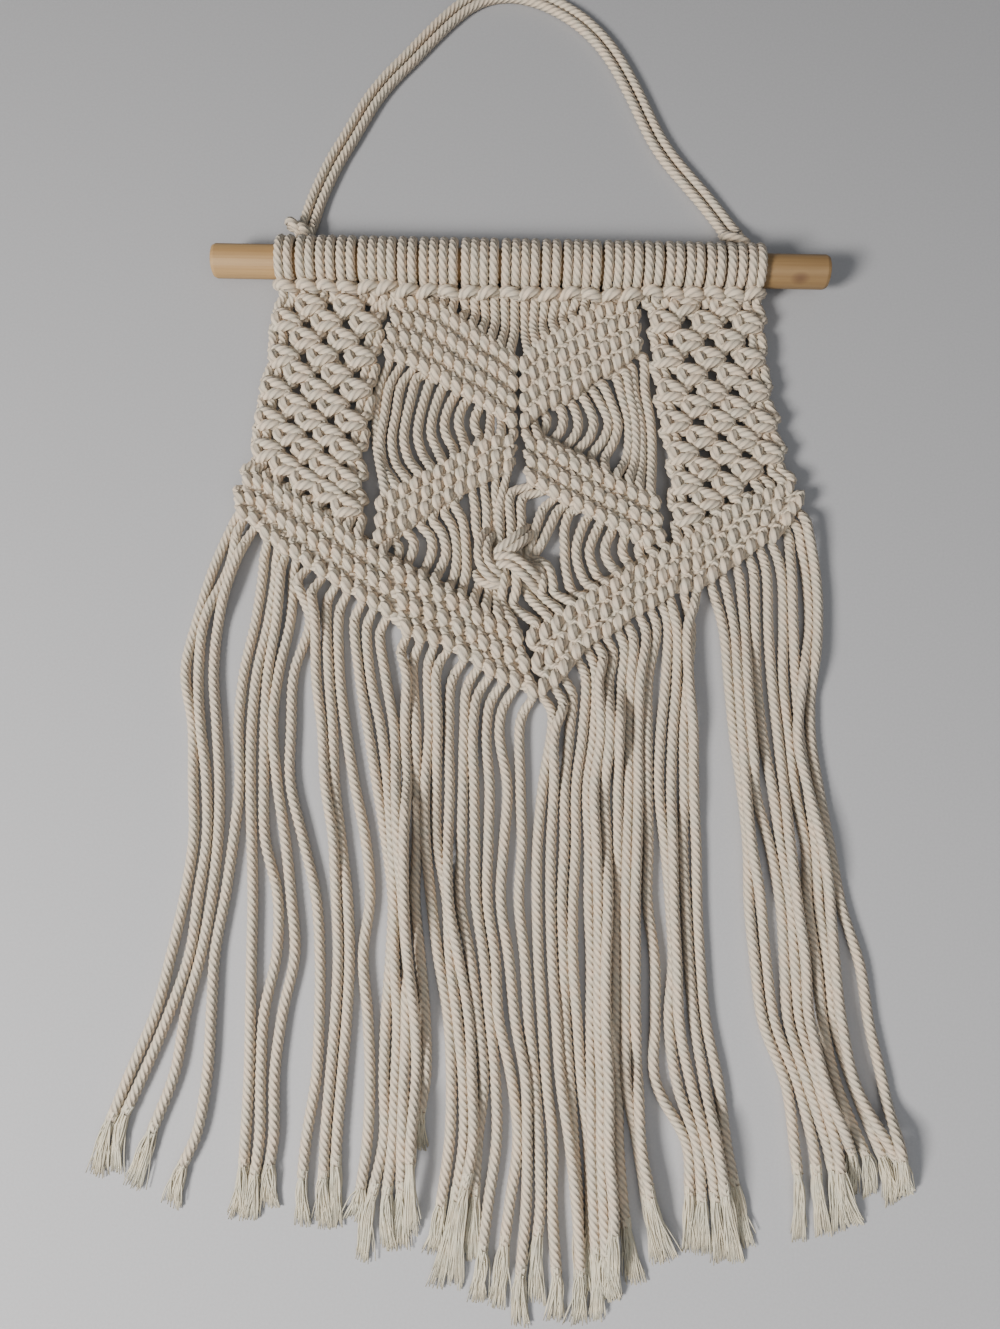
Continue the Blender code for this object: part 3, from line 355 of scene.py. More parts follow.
# strands that cross are laid down in their order, but for these, which go first, under the others
FRINGE_UNDER = (15, 9, 23, 19, 26, 34)
FRINGE_STEP = 3.0  # spacing of the places where a strand is tested for crossing others
END_ROOM = 6  # a height nearer than this to the strand's start or combed end is passed over
SWING_ROOM = 15  # and nearer than this to the start of a strand that swings sideways
EASE = 2  # places either side over which the height of a strand is evened out
CLEAR = 0.05  # how far the strands are clear of the floor
TOUCH = 4.5  # strands that cross closer than this lie one over the other

# ---- the combed ends ---------------------------------------------------------------
YARNS = 56  # yarns that show in a combed-out end
YARN = 0.9  # thickness of a yarn
YARN_SIDES = 3  # flat sides that stand for its roundness
YARN_STEP = 3.4  # spacing of the mesh rings along it
YARN_SHARES = (-0.25, 0.0, 0.2, 0.45, 0.72, 1.0)  # its rows, as shares of the combed length
YARN_TAPER = 0.45  # how much thinner it is at its tip
YARN_LOWEST = 0.45  # lowest height of its middle
YARN_REACH = (0.8, 1.05)  # how far it gets, as a share of the way to the tip
YARN_SWAY = 0.9  # most it sways sideways
YARN_WAVES = 5.0  # radians of its sway to the combed length
TIP_HEIGHT = 1.4  # height at which the yarns meet the tip
COMBED_BEND = 0.4  # share of the combed length over which it keeps the strand's direction
BUNDLE = 2.1  # radius of the yarns where the cord ends
FAN = (3.0, 4.4)  # how far they fan out sideways at the tip, from tight to wide
FAN_CURVE = 0.8  # under 1, they fan out early
STRAYS = 0.06  # share of the yarns that stray further
STRAY_REACH = 1.7  # how many times further

# ---- the hanger: the middle line of the doubled cord, columns x, y, z -------------
HANGER_ROUTE = (
    (-106.0, 23.4, 5.2), (-105.2, 29.5, 3.0), (-102.5, 40.5, 2.6), (-98.5, 52.0, 2.6), (-93.8, 63.5, 2.6),
    (-88.0, 75.0, 2.6), (-82.5, 86.5, 2.6), (-76.6, 98.0, 2.6), (-68.9, 109.5, 2.6), (-59.0, 121.5, 2.6),
    (-49.4, 133.5, 2.6), (-39.5, 145.0, 2.6), (-30.0, 154.0, 2.6), (-18.6, 160.0, 2.6), (-6.6, 161.4, 2.6),
    (4.4, 159.4, 2.6), (15.0, 155.0, 2.6), (28.0, 146.4, 2.6), (39.2, 135.0, 2.6), (47.0, 123.5, 2.6),
    (53.0, 112.0, 2.6), (58.2, 100.5, 2.6), (63.0, 89.0, 2.6), (68.2, 77.5, 2.6), (74.8, 66.5, 2.6),
    (83.2, 55.4, 2.6), (91.7, 44.5, 2.6), (99.0, 34.2, 2.6), (102.7, 27.9, 3.4), (105.6, 22.7, 5.2),
)
HANGER_SPREAD = 2.65  # each cord's distance from the middle of the pair
# its knotted end at the left of the dowel is a coil round this place
COIL_MIDDLE = (-112.6, 23.0, 6.6)
COIL_ANGLES = range(200, -161, -30)  # degrees
COIL_RADII = (1.7, 1.6)  # in x and in y
COIL_RISE = 1.6
COIL_THICKNESS = 0.84
# the rest of the ties, columns piece, where the twist starts, thickness and route: the turn
# over the left knot and its tail, the turn round the dowel at the right, and the hanger's
# cords, carried on from their ends until the wraps hide them
TIES = (
    ("hanger_knot_left", 0.7, 0.9, (
        (-115.0, 25.4, 5.6), (-114.2, 24.8, 8.4), (-112.2, 23.0, 9.8), (-110.4, 21.0, 8.2),
        (-110.0, 20.0, 5.6),
    )),
    ("hanger_knot_left", 1.0, 1.15, (
        (-110.6, 22.8, 7.2), (-107.6, 21.4, 8.0), (-105.6, 17.6, 7.4), (-105.4, 12.0, 5.6),
    )),
    ("hanger_knot_right", 0.5, 0.95, (
        (100.4, 24.4, 3.4), (100.8, 22.4, 6.4), (102.6, 20.6, 8.8), (106.6, 19.4, 9.2),
        (110.4, 18.4, 8.2), (112.4, 15.6, 6.4), (112.8, 11.0, 5.4),
    )),
    ("hanger_knot_left", 2.0, 1.0, ((-108.6, 23.2, 5.2), (-108.8, 18.0, 6.6), (-108.8, 10.5, 6.6))),
    ("hanger_knot_left", 2.0, 1.0, ((-103.4, 23.6, 5.2), (-104.2, 18.0, 6.6), (-104.6, 10.5, 6.6))),
    ("hanger_knot_right", 2.0, 1.0, ((103.2, 21.8, 5.2), (105.4, 17.6, 5.4), (106.6, 10.5, 5.6))),
    ("hanger_knot_right", 2.0, 1.0, ((108.0, 23.6, 5.2), (110.0, 18.4, 5.4), (111.0, 10.5, 5.6))),
)

# ---- colours, as linear red, green and blue, and finishes ---------------------------
COTTON_WARM = (0.70, 0.56, 0.41)
COTTON_COOL = (0.63, 0.55, 0.42)
# painted shade: the dark colour that the grooves between the plies take
PAINTED_GROOVE_SHADE = (0.24, 0.218, 0.19)
GROOVE_SHADE = 0.55  # how much of the painted groove shade the grooves take
COMBED_WARM = (0.68, 0.60, 0.44)
COMBED_COOL = (0.62, 0.575, 0.44)
WOOD_PALE = (0.50, 0.315, 0.135)
WOOD_DARK = (0.38, 0.225, 0.09)
WOOD_KNOT = (0.12, 0.06, 0.03)
FLOOR_DARK = (0.44, 0.44, 0.45)
FLOOR_PALE = (0.47, 0.47, 0.48)
FIBRES_ALONG = 22.5  # fibre streaks passed in one turn along the cord
FIBRES_AROUND = 40.8  # and in going once round it
FIBRE_BREAKS = 5.5  # breaks in a streak, to a turn
COMBED_AROUND = 9.0  # the same for the combed yarns
COMBED_BREAKS = 3.0
PATCHES = 160.0  # warmer and cooler patches of the cotton, to a metre
GRAIN = (9.0, 420.0, 420.0)  # streaks of the wood's grain to a metre, along and across the rod
BROAD_GRAIN = 14.0  # lighter and darker stretches of it, to a metre
WOOD_RINGS = 160.0  # rings on the sawn ends, to a metre
BRANCH_KNOT = (134.0, -7.2, 20.0)  # middle of the branch knot
BRANCH_KNOT_SIZE = (4.4, 2.6, 5.0)  # its reach along, across and into the rod
SPECKS = 900.0  # specks of the floor, to a metre

# ---- camera and lights -----------------------------------------------------------------
CAMERA_PLACE = (-6.35, -273.0, 457.2)
CAMERA_TILT = 9.84  # degrees up the hanging from straight down
CAMERA_ROLL = 1.07
CAMERA_LENS = 36.0
SENSOR_WIDTH = 36.0
FLOOR_REACH = 4.0  # metres from the middle of the floor to its sides
# columns name, place, where it points, both in metres, size in metres, watts and colour
LIGHTS = (
    ("key", (-1.1, -0.85, 1.1), (0.0, -0.2, 0.0), 0.45, 48.0, (1.0, 0.97, 0.94)),
    ("fill", (0.35, -1.0, 1.5), (0.0, -0.25, 0.0), 1.6, 10.0, (0.97, 0.98, 1.0)),
)
SKY = (0.9, 0.94, 1.0)
SKY_STRENGTH = 0.17


# ---- routes --------------------------------------------------------------------------
def mix(a, b, share):
    return tuple(p + (q - p) * share for p, q in zip(a, b))


def half_of(strand):
    return "left" if strand < HALF else "right"


def along(line, count):
    """count points spaced evenly along a line, each in the middle of its own share."""
    rows = np.asarray(line, float)
    run = np.concatenate([[0.0], np.cumsum(np.linalg.norm(np.diff(rows, axis=0), axis=1))])
    marks = (np.arange(count) + 0.5) / count * run[-1]
    return [tuple(np.interp(mark, run, column) for column in rows.T) for mark in marks]


def crossings(*lines):
    """Where the strands cross these lines, from left to right."""
    return [place for line in lines for place in along(line, LINE_STRANDS)]


def beside(points, distance):
    """The route moved sideways, to the left of its own direction when distance is positive."""
    rows = np.asarray(points, float)
    ahead = np.gradient(rows[:, :2], axis=0)
    ahead /= np.linalg.norm(ahead, axis=1)[:, None]
    moved = rows.copy()
    moved[:, 0] -= ahead[:, 1] * distance
    moved[:, 1] += ahead[:, 0] * distance
    return [tuple(row) for row in moved]


def smooth_route(points, step):
    """Evenly spaced points on a smooth curve through the given rows, and the row each lies after.

    A row is x, y, z and the cord's thickness there, as a share of its full one.
    """
    rows = np.asarray(points, float)
    gap = np.sqrt(np.maximum(np.linalg.norm(np.diff(rows[:, :3], axis=0), axis=1), 1e-6))[:, None]
    slope = np.diff(rows, axis=0) / gap
    inner = (slope[:-1] * gap[1:] + slope[1:] * gap[:-1]) / (gap[:-1] + gap[1:])
    tangent = np.vstack([slope[:1], inner, slope[-1:]])
    t = np.linspace(0.0, 1.0, CURVE_PARTS, endpoint=False)[None, :, None]
    start, end = rows[:-1, None, :], rows[1:, None, :]
    leave, arrive = (tangent[:-1] * gap)[:, None, :], (tangent[1:] * gap)[:, None, :]
    fine = (
        (2 * t**3 - 3 * t**2 + 1) * start + (t**3 - 2 * t**2 + t) * leave
        + (3 * t**2 - 2 * t**3) * end + (t**3 - t**2) * arrive
    )
    fine = np.vstack([fine.reshape(-1, rows.shape[1]), rows[-1:]])
    place = np.linspace(0.0, len(rows) - 1, len(fine))
    run = np.concatenate([[0.0], np.cumsum(np.linalg.norm(np.diff(fine[:, :3], axis=0), axis=1))])
    marks = np.linspace(0.0, run[-1], max(3, round(run[-1] / step) + 1))
    even = np.stack([np.interp(marks, run, column) for column in fine.T], axis=1)
    return even, np.interp(marks, run, place), marks


# ---- laying cord ---------------------------------------------------------------------
def make_section(name, thickness, points, groove):
    """An outline to sweep along a route, as a flat closed curve.

    Every other point sinks into a groove, to the share groove of the radius.
    """
    data = bpy.data.curves.new(name, "CURVE")
    data.dimensions = "2D"
    outline = data.splines.new("POLY")
    outline.points.add(points - 1)
    outline.use_cyclic_u = True
    for i, point in enumerate(outline.points):
        reach = thickness / 2 * MM * (1.0 if i % 2 else groove)
        angle = FULL_TURN * i / points
        point.co = (reach * math.cos(angle), reach * math.sin(angle), 0.0, 1.0)
    section = bpy.data.objects.new(name, data)
    bpy.context.scene.collection.objects.link(section)
    return section


class Cord:
    """One length of cord: the rows it passes through, and the piece each stretch is part of.

    Its twist starts at the angle phase.
    """

    def __init__(self, phase, step=RING_STEP, twisted=True):
        self.rows = []
        self.pieces = []
        self.phase = phase
        self.step = step
        self.twisted = twisted

    def go(self, piece, points, thickness=1.0):
        for point in points:
            self.rows.append((*point[:3], thickness * (point[3] if len(point) > 3 else 1.0)))
            self.pieces.append(piece)

    def stretches(self):
        """For each piece: the rings, the twist at each, the length run before them and theirs.

        A stretch laps one ring over the next, so no gap shows where two pieces meet.
        """
        rings, place, run = smooth_route(self.rows, self.step)
        owner = [self.pieces[min(int(p), len(self.pieces) - 2)] for p in place]
        heading = [Vector(d).normalized() for d in np.diff(rings[:, :3], axis=0)]
        heading.append(heading[-1])
        side = [heading[0].orthogonal().normalized()]
        for before, after in zip(heading, heading[1:]):
            side.append(before.rotation_difference(after) @ side[-1])
        first = 0
        last = len(rings) - 1
        for i in range(1, last + 1):
            if i < last and owner[i] == owner[first]:
                continue
            end = min(i + 1, last)
            across = heading[first].to_track_quat("-Z", "Y") @ Vector((1.0, 0.0, 0.0))
            offset = math.atan2(heading[first].dot(across.cross(side[first])), across.dot(side[first]))
            twist = offset + self.phase - FULL_TURN * run[first : end + 1] / LAY * self.twisted
            twist -= FULL_TURN * round(twist[0] / FULL_TURN)
            yield owner[first], rings[first : end + 1], twist, run[first], run[end] - run[first]
            first = i


def start_cord(rng, step=RING_STEP, twisted=True):
    """A cord whose twist starts anywhere in its turn."""
    return Cord(rng.uniform(0.0, FULL_TURN), step, twisted)


def lay(cords, section):
    """Turn cords into finished pieces: a swept tube for each stretch, joined piece by piece."""
    laid = []
    for cord in cords:
        for piece, rings, twist, before, length in cord.stretches():
            data = bpy.data.curves.new("stretch", "CURVE")
            data.dimensions = "3D"
            data.twist_mode = "MINIMUM"
            data.bevel_mode = "OBJECT"
            data.bevel_object = section
            data.use_fill_caps = True
            spline = data.splines.new("POLY")
            spline.points.add(len(rings) - 1)
            spline.points.foreach_set("co", np.c_[rings[:, :3] * MM, np.ones(len(rings))].ravel())
            spline.points.foreach_set("tilt", twist)
            spline.points.foreach_set("radius", rings[:, 3])
            tube = bpy.data.objects.new("stretch", data)
            bpy.context.scene.collection.objects.link(tube)
            laid.append((tube, piece, before, length))
    graph = bpy.context.evaluated_depsgraph_get()
    joined = {}
    for tube, piece, before, length in laid:
        mesh = bpy.data.meshes.new_from_object(tube.evaluated_get(graph))
        uv = mesh.uv_layers["UVMap"].uv
        flat = np.empty(len(uv) * 2)
        uv.foreach_get("vector", flat)
        flat[0::2] = flat[0::2] * length / LAY + before / LAY
        uv.foreach_set("vector", flat)
        joined.setdefault(piece, bmesh.new()).from_mesh(mesh)
        bpy.data.meshes.remove(mesh)
    for tube, *rest in laid:
        data = tube.data
        bpy.data.objects.remove(tube)
        bpy.data.curves.remove(data)
    return joined


def finish_piece(name, mesh, material, nodes):
    """Weld a piece, keep its cut ends flat, and hang it on the frame in place of its nodes."""
    bmesh.ops.remove_doubles(mesh, verts=mesh.verts, dist=1e-6)
    for face in mesh.faces:
        if len(face.verts) > 4:
            face.smooth = False
            for edge in face.edges:
                edge.smooth = False
    data = bpy.data.meshes.new(name)
    mesh.to_mesh(data)
    mesh.free()
    data.materials.append(material)
    piece = bpy.data.objects.new(name, data)
    bpy.context.scene.collection.objects.link(piece)
    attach(piece, "root")
    if nodes:
        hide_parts(*nodes)
    return piece


# ---- the side nets --------------------------------------------------------------------
def knot_net(strands, knots, piece, rng):
    """Take the twelve strands of a side net through its square knots, row by row."""
    for y, first, middles in knots:
        for group, middle in enumerate(middles):
            dx, dy, turn = [rng.uniform(*limits) for limits in KNOT_SWAY]
            place = first + KNOT_STRANDS * group
            for strand, points in zip(strands[place : place + KNOT_STRANDS], SQUARE_KNOT):
                moved = []
                for px, py, z, *thick in points:
                    moved.append((middle + dx + px - py * turn, y + dy + py + px * turn, z, *thick))
                strand.go(piece, moved, PULLED)
        if first == 2 and len(middles) == 2:
            for place in (0, 1):
                z = EDGE_HEIGHT - place
                strands[place].go(piece, [(middles[0] - EDGE_REACH + EDGE_GAP * place, y, z)])
                strands[-1 - place].go(piece, [(middles[1] + EDGE_REACH - EDGE_GAP * place, y, z)])


# ---- the bands and the border ---------------------------------------------------------
def hitched(start, end, rows, lean, rng, above=0.0):
    """A strand through a band: over each holding cord in turn, sinking between them.

    above is the room left over the first row, as a share of a row.
    """
    points = []
    pitch = math.dist(start, end) / (rows + above)
    for row in range(rows):
        x, y = mix(start, end, (row + 0.5 + above) / (rows + above))
        x += rng.uniform(-HITCH_SWAY, HITCH_SWAY)
        y += rng.uniform(-HITCH_SWAY, HITCH_SWAY)
        for side, rise, z, thick in HITCH:
            points.append((x + side * lean, y + rise * pitch, z, thick))
        if row < rows - 1:
            x, y = mix(start, end, (row + 1 + above) / (rows + above))
            points.append((x + DIP_LEAN * lean, y, BEHIND, DIP_THICKNESS))
    x, y = points.pop()[:2]
    rise, z, thick = LAST_TUCK
    points.append((x, y + rise, z, thick))
    return points


def holding_cords(starts, ends, counts, above, piece, rng):
    """The cords that run along a band: under its upper edge, inside its rows and between them."""
    cords = []
    for step in range(2 * max(counts)):
        if step == 0:
            z, thick = EDGE_CORD
        elif step % 2:
            z, thick = ROW_CORD
        else:
            z, thick = BETWEEN_CORD
        points = []
        for start, end, count, room in zip(starts, ends, counts, above):
            if step < 2 * count:
                points.append((*mix(start, end, (step / 2 + room) / (count + room)), z, thick))
        cord = start_cord(rng)
        cord.go(piece, points)
        cords.append(cord)
    return cords


def border_rows(entry, leave):
    return WIDE_ROWS if math.dist(entry, leave) > NARROW else NARROW_ROWS


def border_room(i):
    """The room over a strand's first hitch in the border: none under the nets."""
    inward = min(i, STRANDS - 1 - i)
    return BORDER_ROOM * min(max((inward - NO_ROOM_STRANDS) / ROOM_STRANDS, 0.0), 1.0)


# ---- the strands, from the heading to the border ------------------------------------------
def in_middle(i):
    """Whether a strand is between the two nets."""
    return SIDE_STRANDS <= i < STRANDS - SIDE_STRANDS


def start_strands(rng):
    """The 48 strands as they leave the heading."""
    cords = []
    y, z = STRAND_START
    for i in range(STRANDS):
        x = HEADING_LEFT + (i + 0.5) * HEAD_PITCH / 2
        cord = start_cord(rng)
        piece = "top_strands" if in_middle(i) else "side_panel_" + half_of(i)
        cord.go(piece, [(x, y + up, z + over) for up, over in FIRST_ROWS])
        cords.append(cord)
    return cords


def cross_middle(cord, j, upper, lower, rng):
    """Take the middle strand j through the V, an eye, the upside-down V and the diamond.

    upper and lower say where the strands enter and leave the two V shapes.
    """
    i = j + SIDE_STRANDS
    half = half_of(i)
    lean = LEAN_FALLING if half == "left" else LEAN_RISING
    lift = LOOSE_LIFT if i % 2 else -LOOSE_LIFT
    start = cord.rows[0][:2]
    top, foot = upper[0][j], upper[1][j]
    if top[1] < start[1] - TOP_DROP:
        cord.go("top_strands", [(*mix(start, top, TOP_SHARE), TOP_HEIGHT + lift)])
    cord.go("upper_band_" + half, hitched(top, foot, UPPER_ROWS, lean, rng), PULLED)
    cord.go("eye_strands_" + half, [(x, y, LOOSE_HEIGHT + lift) for x, y in EYE_ROUTES[j]])
    top, foot = lower[0][j], lower[1][j]
    cord.go("lower_band_" + half, hitched(top, foot, LOWER_ROWS, -lean, rng), PULLED)
    if 0 <= i - KNOT_FIRST < len(KNOT_ROUTES):
        route = KNOT_ROUTES[i - KNOT_FIRST]
        cord.go("diamond_strands_" + half, route[:KNOT_LOOSE])
        cord.go("gathered_knot", route[KNOT_LOOSE:])
    else:
        cord.go("diamond_strands_" + half, [(x, y, LOOSE_HEIGHT + lift) for x, y in DIAMOND_ROUTES[j]])


def make_holding_cords(upper, lower, entries, rng):
    """The cords that all the strands are hitched over."""
    cords = []
    no_room = [0.0] * BAND_STRANDS
    for half, first in (("left", 0), ("right", BAND_STRANDS)):
        for name, (tops, feet), rows in (("upper", upper, UPPER_ROWS), ("lower", lower, LOWER_ROWS)):
            pick = slice(first, first + BAND_STRANDS)
            counts = [rows] * BAND_STRANDS
            cords += holding_cords(tops[pick], feet[pick], counts, no_room, f"{name}_band_{half}", rng)
    for half, first in (("left", 0), ("right", HALF)):
        pick = range(first, first + HALF)
        starts = [entries[i] for i in pick]
        ends = [BORDER_LEAVES[i] for i in pick]
        counts = [border_rows(start, end) for start, end in zip(starts, ends)]
        above = [border_room(i) for i in pick]
        cords += holding_cords(starts, ends, counts, above, "bottom_border_" + half, rng)
    return cords


def make_strands(rng):
    """The 48 strands from the heading to the foot of the border, then the holding cords."""
    upper = (
        crossings(UPPER_V_TOP_LEFT, UPPER_V_TOP_RIGHT),
        crossings(UPPER_V_FOOT_LEFT, UPPER_V_FOOT_RIGHT),
    )
    lower = (
        crossings(LOWER_V_TOP_LEFT, LOWER_V_TOP_RIGHT),
        crossings(LOWER_V_FOOT_LEFT, LOWER_V_FOOT_RIGHT),
    )
    entries = crossings(
        BORDER_TOP_LEFT_OUTER, BORDER_TOP_LEFT_INNER, BORDER_TOP_RIGHT_INNER, BORDER_TOP_RIGHT_OUTER,
    )
    cords = start_strands(rng)
    knot_net(cords[:SIDE_STRANDS], PANEL_KNOTS_LEFT, "side_panel_left", rng)
    knot_net(cords[-SIDE_STRANDS:], PANEL_KNOTS_RIGHT, "side_panel_right", rng)
    for i, cord in enumerate(cords):
        if in_middle(i):
            cross_middle(cord, i - SIDE_STRANDS, upper, lower, rng)
        lean = LEAN_FALLING if i < HALF else LEAN_RISING
        entry, leave = entries[i], BORDER_LEAVES[i]
        rows = border_rows(entry, leave)
        points = hitched(entry, leave, rows, lean, rng, border_room(i))
        cord.go("bottom_border_" + half_of(i), points, PULLED)
    return cords + make_holding_cords(upper, lower, entries, rng)


def make_gathered_knot(rng):
    """The doubled cord tied round the middle strands."""
    cords = []
    for route in KNOT_WRAPS:
        for distance in (-WRAP_SPREAD, WRAP_SPREAD):
            cord = start_cord(rng)
            cord.go("gathered_knot", beside(route, distance), TIED)
            cords.append(cord)
    return cords


# ---- the fringe ------------------------------------------------------------------------------
def swing(i):
    """How far a strand goes sideways, and up, below the border before it turns down."""
    for first, last, across, up in SWINGS:
        if first <= i <= last:
            return across, up
    return None


def fringe_route(i):
    """A strand's way from the border to its combed end, seen from above."""
    start = BORDER_LEAVES[i]
    across, fray = FRINGE[i][:2]
    rows = [(*start, 0.0, 1.0)]
    room = END_ROOM
    if swing(i):
        dx, dy = swing(i)
        rows.append((start[0] + dx, start[1] + dy, 0.0, 1.0))
        room = SWING_ROOM
    for x, y in zip(across, FRINGE_ROWS):
        if x is not None and fray[1] + END_ROOM < y < start[1] - room:
            rows.append((x, y, 0.0, 1.0))
    rows.append((*fray, 0.0, 1.0))
    return smooth_route(rows, FRINGE_STEP)[0][:, :2]


def lay_fringe(cords):
    """Bring each strand down to its combed end, over the ones already laid where they cross."""
    order = list(FRINGE_UNDER) + [i for i in range(STRANDS) if i not in FRINGE_UNDER]
    down = []
    for i in order:
        even = fringe_route(i)
        height = np.full(len(even), CORD / 2 + CLEAR)
        for other, other_height in down:
            apart = np.linalg.norm(even[:, None, :] - other[None, :, :], axis=2)
            near = apart.min(axis=1)
            under = other_height[apart.argmin(axis=1)]
            lift = under + np.sqrt(np.maximum(TOUCH**2 - near**2, 0.0))
            height = np.maximum(height, np.where(near < TOUCH, lift, 0.0))
        spread = [height[max(0, k - EASE) : k + EASE + 1].max() for k in range(len(height))]
        window = np.ones(2 * EASE + 1) / (2 * EASE + 1)
        height = np.convolve(np.pad(spread, EASE, mode="edge"), window, mode="valid")
        down.append((even, height))
        keep = list(range(2, len(even) - 1, 2)) + [len(even) - 1]
        cords[i].go("fringe_" + half_of(i), [(*even[k], height[k]) for k in keep])


def comb_out(strand, i, rng):
    """The yarns of a strand's combed end, fanned out from its cut to its tip."""
    tip = Vector((*FRINGE[i][2], 0.0))
    end = Vector(strand.rows[-1][:3])
    ahead = (end - Vector(strand.rows[-2][:3])).normalized()
    across = Vector((-ahead.y, ahead.x, 0.0)).normalized()
    reach = (tip - end.xy.to_3d()).length
    bend = end + ahead * reach * COMBED_BEND
    tip.z = TIP_HEIGHT
    fan = rng.uniform(*FAN)
    yarns = []
    for k in range(YARNS):
        turn = rng.uniform(0.0, FULL_TURN)
        start = BUNDLE * math.sqrt(rng.random())
        spread = rng.uniform(-1.0, 1.0)
        if rng.random() < STRAYS:
            spread *= STRAY_REACH
        far = rng.uniform(*YARN_REACH)
        sway = rng.uniform(-YARN_SWAY, YARN_SWAY)
        yarn = start_cord(rng, YARN_STEP, False)
        points = []
        for share in YARN_SHARES:
            t = share * far
            place = end * (1 - t) ** 2 + bend * 2 * t * (1 - t) + tip * t * t
            t = max(t, 0.0)
            sideways = math.cos(turn) * start * (1 - t) + fan * spread * t**FAN_CURVE
            place += across * (sideways + sway * math.sin(YARN_WAVES * t))
            place.z = max(YARN_LOWEST, place.z + math.sin(turn) * start * (1 - t))
            points.append((*place, 1.0 - YARN_TAPER * share))
        yarn.go("combed_ends_" + half_of(i), points)
        yarns.append(yarn)
    return yarns


# ---- the heading ---------------------------------------------------------------------------
def head_half(near):
    """Half of a folded cord, from its strand over the dowel to the end of its bar.

    near is the distance of its wrap from the folded cord's middle. Columns distance from that
    middle, y, z and, at the end of the bar, thickness.
    """
    y, z = STRAND_START
    rows = [(HEAD_TAIL, y + up, z + over) for up, over in HEAD_START]
    rows.append((near, *HEAD_RISE))
    for angle in WRAP_ANGLES:
        turn = math.radians(angle)
        z = AXIS_HEIGHT + WRAP_RADIUS * math.sin(turn)
        rows.append((near, WRAP_RADIUS * math.cos(turn), max(z, LOWEST_WRAP)))
    return rows + list(HEAD_FOLD)


def make_headings(rng):
    """The 24 folded cords hitched round the dowel."""
    cords = []
    for head in range(HEADS):
        x = HEADING_LEFT + (head + 0.5) * HEAD_PITCH
        cord = start_cord(rng)
        high = SIDE_RISE if head < SIDE_HEADS or head >= HEADS - SIDE_HEADS else 0.0
        half = head_half(rng.uniform(*WRAP_NEAR))
        x += rng.uniform(-HEAD_SWAY, HEAD_SWAY)
        tilt = rng.choice((-1.0, 1.0)) * rng.uniform(*BAR_TILT)
        sway = rng.uniform(-BAR_SWAY, BAR_SWAY)
        y, z, thickness = BAR_MIDDLE
        middle = (x + sway, y + high + rng.uniform(*BAR_SHIFT), z, thickness)
        left = []
        right = []
        for dx, y, z, *thick in half:
            y += high if y < BAR_BELOW and z > BAR_OVER else 0.0
            slant = tilt if thick else 0.0
            left.append((x - dx, y + slant, z, *thick))
            right.insert(0, (x + dx, y - slant, z, *thick))
        cord.go("heading", left + [middle] + right, WRAPPED)
        cords.append(cord)
    return cords


# ---- the hanger -----------------------------------------------------------------------------
def make_hanger(section, material):
    """The hanger's two cords side by side, each with its own piece."""
    for name, distance, phase in (("outer", HANGER_SPREAD, 0.0), ("inner", -HANGER_SPREAD, 2.0)):
        node = "hanger_cord_" + name
        cord = Cord(phase)
        cord.go(node, beside(HANGER_ROUTE, distance))
        rings, place, run = smooth_route(cord.rows, RING_STEP)
        piece = finish_piece(node + "_twisted", lay([cord], section)[node], material, [node])
        middle = [Vector(row[:3]) * MM for row in rings]
        tuple(middle[0])
        [tuple(p) for p in middle]


def make_ties():
    """The hanger's knotted end at the left and its turn at the right."""
    coil = Cord(0.0)
    x, y, z = COIL_MIDDLE
    wide, tall = COIL_RADII
    for angle in COIL_ANGLES:
        turn = math.radians(angle)
        rise = COIL_RISE * math.sin(turn / 2) ** 2
        place = (x + wide * math.cos(turn), y + tall * math.sin(turn), z + rise)
        coil.go("hanger_knot_left", [place], COIL_THICKNESS)
    cords = [coil]
    for piece, phase, thickness, route in TIES:
        cord = Cord(phase)
        cord.go(piece, route, thickness)
        cords.append(cord)
    return cords


# ---- materials ------------------------------------------------------------------------------
def math_node(tree, kind, *values):
    """A math node fed by numbers or by other nodes' outputs; returns its result."""
    node = tree.nodes.new("ShaderNodeMath")
    node.operation = kind
    for socket, value in zip(node.inputs, values):
        if isinstance(value, (int, float)):
            socket.default_value = value
        else:
            tree.links.new(value, socket)
    return node.outputs[0]


def ramp(tree, value, low, high, to_low, to_high):
    """A value between low and high, brought to the range to_low to to_high and held there."""
    node = tree.nodes.new("ShaderNodeMapRange")
    for socket, number in zip(node.inputs[1:5], (low, high, to_low, to_high)):
        socket.default_value = number
    tree.links.new(value, node.inputs["Value"])
    return node.outputs["Result"]


def noise(tree, vector, scale, detail):
    node = tree.nodes.new("ShaderNodeTexNoise")
    node.inputs["Scale"].default_value = scale
    node.inputs["Detail"].default_value = detail
    tree.links.new(vector, node.inputs["Vector"])
    return node.outputs["Fac"]


def blend(tree, factor, a, b):
    """The mix of two colours, each a tuple or another node's output."""
    node = tree.nodes.new("ShaderNodeMix")
    node.data_type = "RGBA"
    tree.links.new(factor, node.inputs["Factor"])
    for socket, value in ((node.inputs["A"], a), (node.inputs["B"], b)):
        if isinstance(value, tuple):
            socket.default_value = (*value, 1.0)
        else:
            tree.links.new(value, socket)
    return node.outputs["Result"]


def tinted(tree, colour, factor):
    """A colour made lighter or darker by a factor."""
    node = tree.nodes.new("ShaderNodeVectorMath")
    node.operation = "SCALE"
    tree.links.new(colour, node.inputs[0])
    tree.links.new(factor, node.inputs["Scale"])
    return node.outputs[0]


